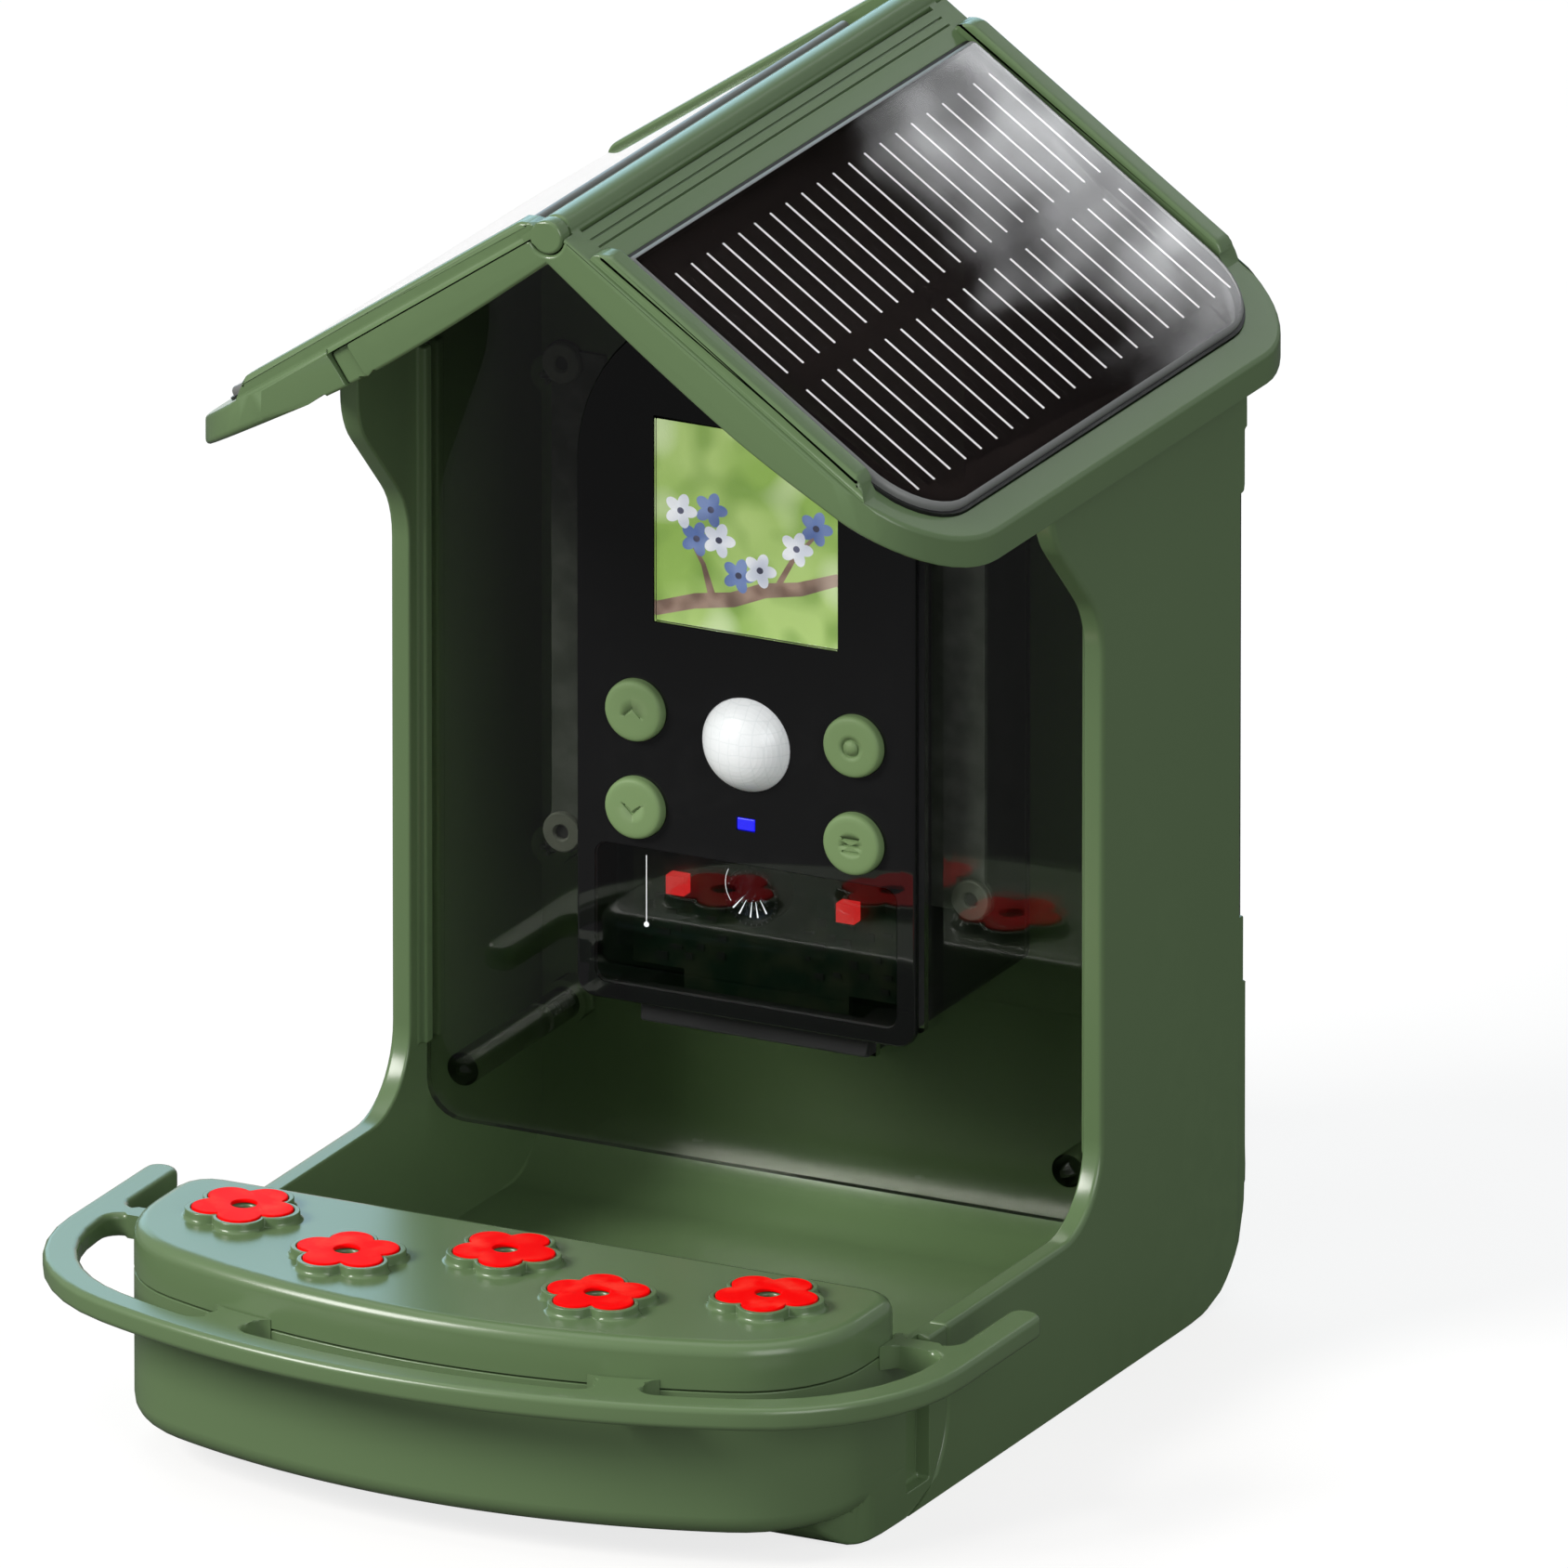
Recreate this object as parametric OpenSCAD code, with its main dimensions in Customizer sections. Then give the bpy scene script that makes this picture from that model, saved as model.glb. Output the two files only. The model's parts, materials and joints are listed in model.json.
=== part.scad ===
// Bird feeder with a seed house, a camera module, a nectar tray and a solar roof.
// Millimetres. +X right, +Y back, +Z up. The origin is under the middle of the whole feeder.

/* [Housing] */
// Width over the two side walls
housing_w = 160; // [154:1:168]
// Depth from the front edges of the side walls to the back face
housing_d = 64.5; // [64.5:0.5:76]
// Thickness of each side wall
side_wall_t = 4.5; // [3.5:0.5:5.5]
// Thickness of the back wall
back_wall_t = 5; // [4.5:0.5:6]
// Thickness of the floor
floor_t = 4; // [3:0.5:5]
// Radius of the rear bottom corner
rear_corner_r = 22; // [16:1:26]
// Height of the low side walls beside the tray
sill_z = 35; // [33:0.5:37]
// Length of the low side walls, from the wall edges to the tray seam
sill_l = 69; // [64:1:69]
// Radius where a wall's front edge runs into the low wall
sill_r = 17; // [10:1:20]
// Height at which the wall's front edge starts to lean forward
lean_z = 155; // [145:1:158]

/* [Tray] */
// Distance from the wall edges to the front of the bowl
bowl_front = 143.3; // [140:0.1:147]
// Radius of the bowl's curved front
bowl_r = 176; // [164:1:190]
// Radius of the bowl's two front corners
bowl_corner_r = 27.4; // [20:0.2:32]
// Distance from the wall edges to the bowl's straight back
bowl_back = 87.5; // [85:0.5:90]
// Height of the bowl's underside
bowl_z = 6.9; // [6:0.1:9]
// Radius of the bowl's bottom edge
bowl_fillet = 4.6; // [3.5:0.1:8]
// Wall of the bowl
bowl_wall = 3; // [2.5:0.25:3.5]
// Height of the bowl's rim, where the cover lies
cover_z = 38; // [37:0.5:39]
// Height of the tray cover
cover_h = 10; // [8:0.5:12]
// Radius of the cover's top edge
cover_fillet = 3; // [2:0.5:3.5]
// Distance from the wall edges to the front of the base under the bowl
chin_front = 112; // [106:1:114]
// Distance of the outer flowers from the middle one
flower_out_x = 58.6; // [55:0.2:60]
// Distance of the front flowers from the middle one
flower_mid_x = 28; // [26:0.2:30]
// Radius of a sipping hole
sip_r = 2.6; // [2:0.1:3]

/* [Perch] */
// Height of the top of the perch ring
perch_z = 40; // [39:0.5:42]
// Thickness of the perch ring
perch_h = 5; // [4:0.5:6]
// Width of the perch bar
perch_bar = 7.2; // [6:0.2:8]
// Gap between the bowl's front and the ring
perch_gap = 8.1; // [6:0.1:9]
// Gap between the bowl's sides and the ring
perch_side_gap = 13.1; // [11:0.1:15]
// Radius of the ring's inner corners
perch_corner_r = 38.3; // [32:0.1:42]

/* [Roof] */
// Height of the roof planes' meeting line
roof_apex = 260; // [256:1:266]
// Pitch of each slope, degrees
roof_pitch = 34.4; // [33:0.2:35]
// Overhang of each eave past the side wall
eave_over = 6.5; // [6:0.5:10]
// Reach of the roof ahead of the side walls' front edges
roof_front = 88; // [84:1:92]
// Overhang of the roof behind the back face
roof_back_over = 17.5; // [14:0.5:22]
// Radius of the front eave corners
eave_front_r = 28; // [22:1:30]
// Radius of the rear eave corners
eave_rear_r = 21.5; // [18:0.5:26]
// Height of the raised parapets above the slope
parapet_h = 3.3; // [2.6:0.1:4]
// Radius of the ridge barrel
barrel_r = 3.5; // [3.2:0.1:3.8]
// Radius of the hinge pin
hinge_pin_r = 1.25; // [1:0.05:1.5]

/* [Solar panels] */
// Distance of each panel from the roof's front and rear edges
panel_edge = 8.4; // [8.4:0.1:14]
// Width of each panel down the slope
panel_w = 81.4; // [76:0.2:83.4]
// Distance of each panel from the ridge line, down the slope
panel_start = 15.6; // [14:0.2:18]
// Radius of the panel corners at the eave
panel_r = 17; // [10:1:18]
// Thickness of the panel glass
panel_glass_t = 3; // [2:0.2:3.4]

/* [Camera module] */
// Width of the front bezel
bezel_w = 76; // [76:0.5:80]
// Height of the bezel's lower edge
bezel_z = 64.5; // [63:0.5:66]
// Height at which the bezel's round top starts
bezel_arch_z = 178; // [176:1:182]
// Thickness of the bezel
bezel_t = 2; // [1.6:0.1:2]
// Width of the display
display_w = 41.4; // [38:0.2:42]
// Height of the display
display_h = 43.3; // [40:0.1:45]
// Height of the middle of the display
display_z = 167.9; // [166:0.1:169]
// Radius of a button
button_r = 6.5; // [5.5:0.1:6.7]
// Spacing of the two button columns
button_cols = 49; // [48:0.5:52]
// Height of the upper buttons
button_hi_z = 127.1; // [125:0.1:128]
// Height of the lower buttons and the status light
button_lo_z = 106.4; // [106:0.1:109]
// Travel of a button
button_travel = 0.8; // [0.5:0.1:0.8]
// Height of the motion lens
motion_z = 123.3; // [121.5:0.1:125]
// Radius of the motion lens
motion_r = 9.9; // [9:0.1:10.4]
// Height of the camera lens
lens_z = 90; // [88:0.5:90]

/* [Mounting] */
// Height of the lower edge of the rear plate
plate_z0 = 66; // [65:0.5:68]
// Distance of the rear plate's upper edge below the roof planes' meeting line
plate_drop = 77; // [74:1:80]
// Thickness of the rear plate
plate_t = 3.1; // [2.5:0.1:4]
// Spacing of the wall screw holes across the plate
wall_hole_x = 100; // [80:1:110]
// Spacing of the wall screw holes up the plate
wall_hole_z = 50; // [40:1:60]
// Radius of a wall screw hole
wall_hole_r = 2.25; // [2:0.05:2.75]
// Height of the threaded tripod insert on the back
tripod_z = 50; // [44:1:52]
// Inner radius of the threaded tripod insert
tripod_r = 3.175; // [2.5:0.005:3.2]

/* [Hidden] */
$fn = 64;
// length of a cut that goes right through
far = 200;

// colours
green = [0.38, 0.49, 0.31];
red = [1, 0, 0];
black = [0.1, 0.1, 0.11];
smoke = [0.25, 0.28, 0.27, 0.5];
white = [0.9, 0.9, 0.9];
board = [0.1, 0.35, 0.2];
steel = [0.7, 0.7, 0.72];

// clearances
fit = 0.3;          // between pieces that move past each other
snug = 0.1;         // between pieces that sit in a pocket
run = 0.05;         // between a shaft and its bore
seam = 0.2;         // at the joint between housing and tray

// screws
screw_r = 1.5;
head_r = 2.8;
head_t = 1.6;

// main places
half_w = housing_w / 2;
inner_x = half_w - side_wall_t;
back_in = housing_d - back_wall_t;
bowl_cy = bowl_r - bowl_front;
perch_r = bowl_r + perch_gap;
perch_front = perch_r + perch_bar - bowl_cy;
roof_back = housing_d + roof_back_over;
y_shift = (perch_front - roof_back) / 2;

// roof planes
slab_t = 5;
skin_t = 3.6;
wire_gap = 0.8;
slope_l = (half_w + eave_over) / cos(roof_pitch);
// how far the upright end of an eave runs on past slope_l, measured along the slope at cut_h below it
cut_h = 12;
eave_run = cut_h * tan(roof_pitch);
ridge_drop = 6.6;
mid_drop = 8.7;
eave_drop = 5.4;
mid_s = 52;
rim_w = 7.2;
rim_step = 1.4;
lid_rim_t = 0.9;
arm_end = 59.8;
arm_pad_end = 55;
parapet_end = slope_l - 19.4;
hinge_z = roof_apex + 0.8 - barrel_r;
lid_edge = barrel_r + 1.9;
beam_end = lid_edge + 2.6;
knuckle_s = 3.4;
lug_l = 4;
glass_seat = 1.6;
cells_t = 0.8;
seal_w = 0.8;
liner_s0 = beam_end + fit;
liner_s1 = slope_l - 13;
wall_end_s = half_w / cos(roof_pitch) + slab_t * tan(roof_pitch) + 0.4;
roof_screw_s = [slope_l - 24, slope_l - 24, 30];
roof_screw_y = [16, back_in - 9.5, back_in - 5];
ledge_t = 4;

// window
window_y = 6.5;
window_t = 3;
window_z = 30.6;
post_x = inner_x - 7.5;
post_z = 41;
post_r = 3.5;
boss_l = 5;

// tray
tongue_l = 9;
tongue_t = 3;
strip_w = 6;
tray_screw_x = 50;
recess_d = 3;
strut_y = bowl_back + 7.1;
strut_x = 42.5;
strut_w = 10;
strut_fillet = min(3.5, perch_gap / 2 - 0.5);
tab_end = sill_l - 3;
tab_r = 3.3;
tongue_w = 4;
tongue_in = 1.8;
tongue_z = perch_z - perch_h + 0.2;
flower_back_y = 106.3;
flower_front_y = 121.1;
petal_top = 0.3;
petal_sink = 0.6;
flower_h = 2;

// camera module
bezel_x = bezel_w / 2;
case_x = bezel_x - 1.5;
case_z = bezel_z + 1.5;
case_wall = 2;
case_back = back_in - 5.5;
back_t = 2;
port_x = 25.7;
port_z = case_z - 6.5;
port_y0 = 3.6;
port_y1 = 45;
key_y = 8;
sensor_y = 10;
board_t = 1.6;
rib_in = 28;
rib_t = 3;
plug_x = 18.5;
plug_y0 = 11.3;
plug_y1 = 19.3;
camera_boss_z = [90, 130];
post_top_x = 27;
post_top_z = bezel_arch_z + 17.5;
post_low_x = case_x - 4.5;
post_low_z = case_z + 4.5;
cell_r = 9.2;
cell_l = 65;
cell_z = [150, 170];
cell_y = case_back - 16;
main_y = cell_y - cell_r - board_t - 1.2;
bore_y = main_y + board_t + 4;
chip_t = 2.6;
case_post_r = 3.5;
camera_post_r = 4;
flange = 0.9;

// rear plate
plate_z1 = roof_apex - plate_drop;
rebate = 1;
strap_d = 2;
strap_z0 = 80;
strap_z1 = plate_z1 - 13;
plate_boss_z = [plate_z0 + 8, plate_z1 - 8.5];
plate_boss_x = inner_x - 4.5;
back_rib_w = 5.4;
back_rib_t = 1.2;
insert_l = 10;
insert_r = 5;

function arc(c, r, a0, a1, n = 10) =
    [for (i = [0 : n]) c + r * [cos(a0 + (a1 - a0) * i / n), sin(a0 + (a1 - a0) * i / n)]];

// rectangle with round corners: ra at x1, rb at x2
function round_rect(x1, x2, y1, y2, ra, rb, n = 8) = concat(
    arc([x2 - rb, y2 - rb], rb, 0, 90, n), arc([x1 + ra, y2 - ra], ra, 90, 180, n),
    arc([x1 + ra, y1 + ra], ra, 180, 270, n), arc([x2 - rb, y1 + rb], rb, 270, 360, n));

// plan with a straight back and a bowed front, drawn in by d on every side
function bow_y(hw, r, rc) = sqrt(pow(r - rc, 2) - pow(hw - rc, 2));
function bowed(hw, r, rc, back, rb, n = 36) =
    let (yc = bowl_cy - bow_y(hw, r, rc), a = atan(bow_y(hw, r, rc) / (hw - rc))) concat(
        arc([hw - rb, -back - rb], rb, 0, 90, 4), arc([rb - hw, -back - rb], rb, 90, 180, 4),
        arc([rc - hw, yc], rc, 180, 180 + a, 8), arc([0, bowl_cy], r, 180 + a, 360 - a, n),
        arc([hw - rc, yc], rc, 360 - a, 360, 8));
function bowl_plan(d, rb = 0.8) = bowed(half_w - d, bowl_r - d, bowl_corner_r - d, bowl_back + d, rb);
function cover_plan(d) = bowl_plan(d, cover_corner_r - d);

// solid through rings of equal length, lowest first
module loft(rings) {
    n = len(rings[0]);
    m = len(rings);
    points = [for (ring = rings) for (p = ring) p];
    sides = [for (j = [0 : m - 2]) for (i = [0 : n - 1]) let (k = (i + 1) % n)
        each [[j * n + i, (j + 1) * n + i, (j + 1) * n + k], [j * n + i, (j + 1) * n + k, j * n + k]]];
    polyhedron(points, concat([[for (i = [0 : n - 1]) i]], sides, [[for (i = [n - 1 : -1 : 0]) (m - 1) * n + i]]));
}
function at_z(plan, z) = [for (p = plan) [p[0], p[1], z]];

// arched plate outline, x and z
function arch(hw, z0, r0) = concat(
    arc([0, bezel_arch_z], hw, 0, 180, 28), arc([r0 - hw, z0 + r0], r0, 180, 270, 5),
    arc([hw - r0, z0 + r0], r0, 270, 360, 5));

// underside of a slope, down from the roof plane, at s down the slope
function drop(s) = s < mid_s
    ? ridge_drop + (mid_drop - ridge_drop) * sin(90 * s / mid_s)
    : eave_drop + (mid_drop - eave_drop) * (1 + cos(180 * (s - mid_s) / (slope_l - mid_s))) / 2;

module placed() translate([0, y_shift, 0]) children();
module along_x(x1, x2) translate([x1, 0, 0]) rotate([90, 0, 90]) linear_extrude(x2 - x1) children();
module along_y(y1, y2) translate([0, y2, 0]) rotate([90, 0, 0]) linear_extrude(y2 - y1) children();
module along_z(z1, z2) translate([0, 0, z1]) linear_extrude(z2 - z1) children();
module rod_y(x, z, y1, y2, r) translate([x, y1, z]) rotate([-90, 0, 0]) cylinder(h = y2 - y1, r = r);
module rod_z(x, y, z1, z2, r) translate([x, y, z1]) cylinder(h = z2 - z1, r = r);
module box(x1, x2, y1, y2, z1, z2) translate([x1, y1, z1]) cube([x2 - x1, y2 - y1, z2 - z1]);
// screw along +Y with its head at y0
module screw_y(x, z, y0, y1) {
    rod_y(x, z, y0, y0 + head_t, head_r);
    rod_y(x, z, y0 + head_t, y1, screw_r);
}
// slope frame: x runs down the slope, y along the ridge, z away from the roof
module on_slope(side) mirror([side < 0 ? 1 : 0, 0, 0]) translate([0, 0, roof_apex]) rotate([0, roof_pitch, 0]) children();

// outline under both slopes, down from the roof planes by each thickness
module gable(t_left, t_right, top) polygon([
    [-half_w - 9, -1], [half_w + 9, -1], [half_w + 9, gable_z(half_w + 9, t_right)],
    [(roof_apex - t_right / cos(roof_pitch) - top) / tan(roof_pitch), top],
    [-(roof_apex - t_left / cos(roof_pitch) - top) / tan(roof_pitch), top],
    [-half_w - 9, gable_z(half_w + 9, t_left)]]);
function gable_z(x, t) = roof_apex - x * tan(roof_pitch) - t / cos(roof_pitch);
gable_top = roof_apex - 11;

// side view of the housing, y and z
function housing_side() = concat(
    arc([-sill_l - tray_corner_r, tray_corner_r], tray_corner_r, -90, 0, 10), [[-sill_l, sill_z]],
    arc([-sill_r, sill_z + sill_r], sill_r, -90, 0, 12),
    arc([-lean_r, lean_z], lean_r, 0, 45, 6),
    arc([-lean_out + lean_r2 * 1.414 - lean_r2 * 0.414, lean_top_z], lean_r2, 225, 180, 6),
    [[-lean_out, roof_apex], [housing_d, roof_apex]],
    arc([housing_d - rear_corner_r, rear_corner_r], rear_corner_r, 0, -90, 12));
tray_corner_r = 18;
lean_r = 18;
lean_r2 = 16;
lean_out = 22.7;
lean_top_z = lean_z + lean_out + lean_r2 * 0.914;

module housing() color(green) placed() difference() {
    union() {
        difference() {
            intersection() {
                along_x(-half_w, half_w) polygon(housing_side());
                along_y(-far, far) gable(slab_t + fit, slab_t, gable_top);
            }
            along_x(-inner_x, inner_x) polygon(concat(
                [[-200, floor_t], [-200, 300], [back_in, 300]],
                arc([back_in - rear_corner_r + 5, floor_t + rear_corner_r - 5], rear_corner_r - 5, 0, -90, 10)));
        }
        // rails that hold the window's edges
        for (side = [-1, 1], y = [window_y - fit - 3, window_y + window_t + fit])
            box(min(side * inner_x, side * (inner_x - 2)) - (side < 0 ? 1 : 0), max(side * inner_x, side * (inner_x - 2)) + (side > 0 ? 1 : 0), y, y + 3, post_z + 6, lean_z + 40);
        for (side = [-1, 1]) {
            // bosses for the window posts and the rear plate
            rod_y(side * post_x, post_z, back_in - boss_l, back_in + 1, post_r + 1.3);
            for (z = plate_boss_z) rod_y(side * plate_boss_x, z, back_in - boss_l, back_in + 1, 4.4);
            box(side * plate_boss_x - back_rib_w / 2, side * plate_boss_x + back_rib_w / 2, back_in - back_rib_t, back_in + 1,
                plate_boss_z[0], plate_boss_z[1]);
        }
        for (z = camera_boss_z) rod_y(0, z, case_back + back_t, back_in + 1, 5);
        rod_y(0, tripod_z, housing_d - insert_l - 2, back_in + 1, 8);
        // ledges under the fixed slope
        intersection() {
            on_slope(1) union() {
                for (i = [0 : 1])
                    box(roof_screw_s[i] - 6, slope_l - 8, roof_screw_y[i] - 5, roof_screw_y[i] + 5, -slab_t - ledge_t, -slab_t);
                box(roof_screw_s[2] - 6, roof_screw_s[2] + 6, roof_screw_y[2] - 5, back_in + 1, -slab_t - ledge_t, -slab_t);
            }
            box(0, inner_x + 1.5, -10, housing_d, 0, roof_apex);
        }
    }
    // rebate for the rear plate and the strap channel behind it
    along_y(housing_d - rebate, housing_d + 1) polygon(round_rect(plate_z0 - snug, plate_z1 + snug, -half_w - 1, half_w + 1, 0.5, 0.5) * [[0, 1], [1, 0]]);
    box(-half_w - 1, half_w + 1, housing_d - rebate - strap_d, housing_d, strap_z0, strap_z1);
    // screw holes
    for (side = [-1, 1]) {
        rod_y(side * post_x, post_z, back_in - boss_l - 1, housing_d + 1, screw_r + run);
        rod_y(side * post_x, post_z, housing_d - head_t - snug, housing_d + 1, head_r + snug);
        for (z = plate_boss_z) rod_y(side * plate_boss_x, z, back_in - boss_l - 1, housing_d + 1, screw_r + run);
    }
    for (z = camera_boss_z) {
        rod_y(0, z, case_back, housing_d, screw_r + run);
        rod_y(0, z, housing_d - rebate - strap_d - head_t - snug, housing_d, head_r + snug);
    }
    rod_y(0, tripod_z, housing_d - insert_l - snug, housing_d + 1, insert_r + run);
    for (x = [-tray_screw_x, 0, tray_screw_x]) {
        rod_z(x, -sill_l + tongue_l / 2, -1, floor_t + 1, screw_r + run);
        rod_z(x, -sill_l + tongue_l / 2, -1, head_t + snug, head_r + snug);
    }
    on_slope(1) for (i = [0 : 2])
        rod_z(roof_screw_s[i], roof_screw_y[i], -slab_t - ledge_t - 1, 0, screw_r + run);
}

module seed_window() color(smoke) placed() difference() {
    union() {
        intersection() {
            along_y(window_y, window_y + window_t)
                polygon(concat(arc([inner_x - fit - 8, window_z + 8], 8, -90, 0, 6), [[inner_x - fit, 300], [fit - inner_x, 300]],
                    arc([fit - inner_x + 8, window_z + 8], 8, 180, 270, 6)));
            along_y(0, 50) gable(slab_t + 2 * fit, slab_t + fit, gable_top - fit);
        }
        for (side = [-1, 1]) rod_y(side * post_x, post_z, window_y + 1, back_in - boss_l, post_r);
    }
    // opening for the camera case
    along_y(0, 50) polygon(arch(case_x + fit, case_z - fit, 1));
    box(-port_x - fit, port_x + fit, 0, 50, port_z - fit, case_z + 1);
    for (side = [-1, 1])
        rod_y(side * post_x, post_z, back_in - boss_l - 10, back_in, screw_r + run);
}

module window_screws() color(steel) placed() for (side = [-1, 1]) {
    rod_y(side * post_x, post_z, housing_d - head_t, housing_d, head_r);
    rod_y(side * post_x, post_z, back_in - boss_l - 9, housing_d - head_t, screw_r);
}

// side view of the tray's block, y and z
function tray_side() = concat(
    [[-sill_l - seam, sill_z]], arc([-sill_l - tray_corner_r, tray_corner_r], tray_corner_r - seam, 0, -90, 10),
    [[-sill_l - tray_corner_r - seam, 0]], arc([-chin_front + 6, 6], 6, 270, 180, 6),
    [[-chin_front, bowl_z + 4], [-bowl_back - 1, bowl_z + 4], [-bowl_back - 1, sill_z]]);

module front_tray() color(green) placed() difference() {
    union() {
        loft(concat(
            [for (a = [0 : 15 : 90]) at_z(bowl_plan(bowl_fillet * (1 - sin(a))), bowl_z + bowl_fillet * (1 - cos(a)))],
            [at_z(bowl_plan(0), cover_z - fit)]));
        intersection() {
            along_x(-half_w, half_w) polygon(tray_side());
            along_z(-1, 60) polygon(concat(
                [[half_w, 0], [-half_w, 0]], arc([11 - half_w, 11 - chin_front], 11, 180, 270, 8),
                arc([half_w - 11, 11 - chin_front], 11, 270, 360, 8)));
        }
        // tongue that lies on the housing's floor
        box(-inner_x + 5, inner_x - 5, -sill_l - seam - strip_w - 1, -sill_l + tongue_l, floor_t + seam, floor_t + seam + tongue_t);
    }
    // grooves between the strip and the bowl
    for (side = [-1, 1])
        box(side < 0 ? -half_w - 1 : half_w - recess_d, side < 0 ? recess_d - half_w : half_w + 1,
            -bowl_back, -sill_l - seam - strip_w - 2, 5, sill_z + 1);
    // trough
    box(-inner_x, inner_x, -sill_l - seam - strip_w - 2, -sill_l + tongue_l + 1, floor_t + seam + tongue_t, 60);
    box(-inner_x + recess_d, inner_x - recess_d, -bowl_back, -sill_l - seam - strip_w - 1, floor_t + seam + tongue_t, 60);
    // bowl
    along_z(bowl_z + bowl_wall, 60) polygon(bowl_plan(bowl_wall));
    // notches in the rim for the perch ring's tongues
    for (side = [-1, 1]) {
        mirror([side < 0 ? 1 : 0, 0, 0]) box(half_w - tongue_in - snug, half_w + 1, -strut_y - tongue_w / 2 - run, -strut_y + tongue_w / 2 + run, tongue_z, cover_z + 1);
        front_strut(side) box(-tongue_w / 2 - run, tongue_w / 2 + run, -bowl_r - 1, -bowl_r + tongue_in + snug, tongue_z, cover_z + 1);
    }
    for (x = [-tray_screw_x, 0, tray_screw_x]) rod_z(x, -sill_l + tongue_l / 2, 0, 60, screw_r + run);
}
// frame at one front strut, -Y out of the bowl
module front_strut(side) translate([0, bowl_cy, 0]) rotate([0, 0, side * asin(strut_x / bowl_r)]) children();

module tray_screws() color(steel) placed() for (x = [-tray_screw_x, 0, tray_screw_x]) {
    rod_z(x, -sill_l + tongue_l / 2, snug, head_t, head_r);
    rod_z(x, -sill_l + tongue_l / 2, head_t, floor_t + seam + tongue_t - 0.4, screw_r);
}

function flower_x(i) = i % 2 == 1 ? (i - 3) / 2 * flower_out_x : (i - 3) * flower_mid_x;
function flower_y(i) = i % 2 == 1 ? -flower_back_y : -flower_front_y;
module flower_shape(reach, r) {
    circle(r = reach * 0.62);
    for (i = [0 : 4]) rotate(i * 72) translate([reach, 0]) circle(r = r);
}
module at_flower(i) translate([flower_x(i), flower_y(i), 0]) rotate([0, 0, i % 2 == 1 ? 0 : 36]) children();
cover_top = cover_z + cover_h;
cover_corner_r = 8;

module tray_cover() color(green) placed() difference() {
    union() {
        loft(concat([at_z(cover_plan(0), cover_z)],
            [for (a = [0 : 18 : 90]) at_z(cover_plan(cover_fillet * (1 - cos(a))), cover_top - cover_fillet * (1 - sin(a)))]));
        for (i = [1 : 5]) at_flower(i) along_z(cover_top - 1, cover_top + flower_h) flower_shape(6.8, 5.2);
        // skirt that drops into the bowl
        along_z(cover_z - 5, cover_z + 1) difference() {
            polygon(bowl_plan(bowl_wall + fit));
            polygon(bowl_plan(bowl_wall + fit + 2));
        }
    }
    along_z(cover_z - 6, cover_top - 2.2) polygon(bowl_plan(bowl_wall + fit + 2));
    for (i = [1 : 5]) at_flower(i) {
        along_z(cover_top + flower_h - petal_sink, cover_top + flower_h + 1) flower_shape(6.2 + snug, 4.4 + snug);
        rod_z(0, 0, cover_z, cover_top + 9, sip_r);
    }
}
module flower(i) color(red) placed() at_flower(i) difference() {
    along_z(cover_top + flower_h - petal_sink, cover_top + flower_h + petal_top) flower_shape(6.2, 4.4);
    rod_z(0, 0, cover_z, cover_top + 9, sip_r);
}

// the ring and its struts from above
module ring_plan() {
    hw = half_w + perch_side_gap;
    difference() {
        polygon(bowed(hw + perch_bar, perch_r + perch_bar, perch_corner_r + perch_bar, tab_end - 5, 0.6, 48));
        polygon(bowed(hw, perch_r, perch_corner_r, tab_end - 20, 0.6, 48));
        translate([-200, -tab_end - tab_r]) square([400, 50]);
    }
    for (side = [-1, 1]) {
        scale([side, 1]) {
            polygon(round_rect(hw, hw + perch_bar, -tab_end - 12, -tab_end, tab_r, tab_r));
            translate([half_w - 1, -strut_y - perch_h / 2]) square([perch_side_gap + 2, perch_h]);
        }
        translate([0, bowl_cy]) rotate(side * asin(strut_x / bowl_r)) translate([-strut_w / 2, -perch_r - 1.5])
            square([strut_w, perch_gap + 2.5]);
    }
}

module perch_ring() color(green) placed() {
    along_z(perch_z - perch_h, perch_z) difference() {
        offset(r = -strut_fillet, $fn = 24) offset(delta = strut_fillet) {
            ring_plan();
            polygon(bowl_plan(0));
        }
        polygon(bowl_plan(-snug));
    }
    for (side = [-1, 1]) {
        mirror([side < 0 ? 1 : 0, 0, 0])
            box(half_w - tongue_in, half_w + 1, -strut_y - tongue_w / 2, -strut_y + tongue_w / 2, tongue_z, cover_z - fit - snug);
        front_strut(side) box(-tongue_w / 2, tongue_w / 2, -bowl_r - 1, -bowl_r + tongue_in, tongue_z, cover_z - fit - snug);
    }
}

// rim seen along the slope: distance out from the inner face, and height from the roof plane
function pad_shape() = concat([[0, -12], [0, 0]], arc([rim_w - 1, -1], 1, 90, 0, 4), [[rim_w, -4.8], [rim_w - 0.6, -12]]);
function parapet_shape() = concat([[0, -lid_rim_t], [0, parapet_h]],
    arc([rim_w - rim_step - 1.2, parapet_h - 1.2], 1.2, 90, 0, 4),
    arc([rim_w, 0.5], rim_step, 180, 270, 5), [[rim_w - rim_step, -lid_rim_t]]);
// front rim when side is -1, rear rim when side is 1
module rim(side, s1, s2) translate([s1, side < 0 ? rim_w - roof_front : roof_back - rim_w, 0])
    mirror([0, side < 0 ? 1 : 0, 0]) rotate([90, 0, 90]) linear_extrude(s2 - s1) children();

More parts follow.
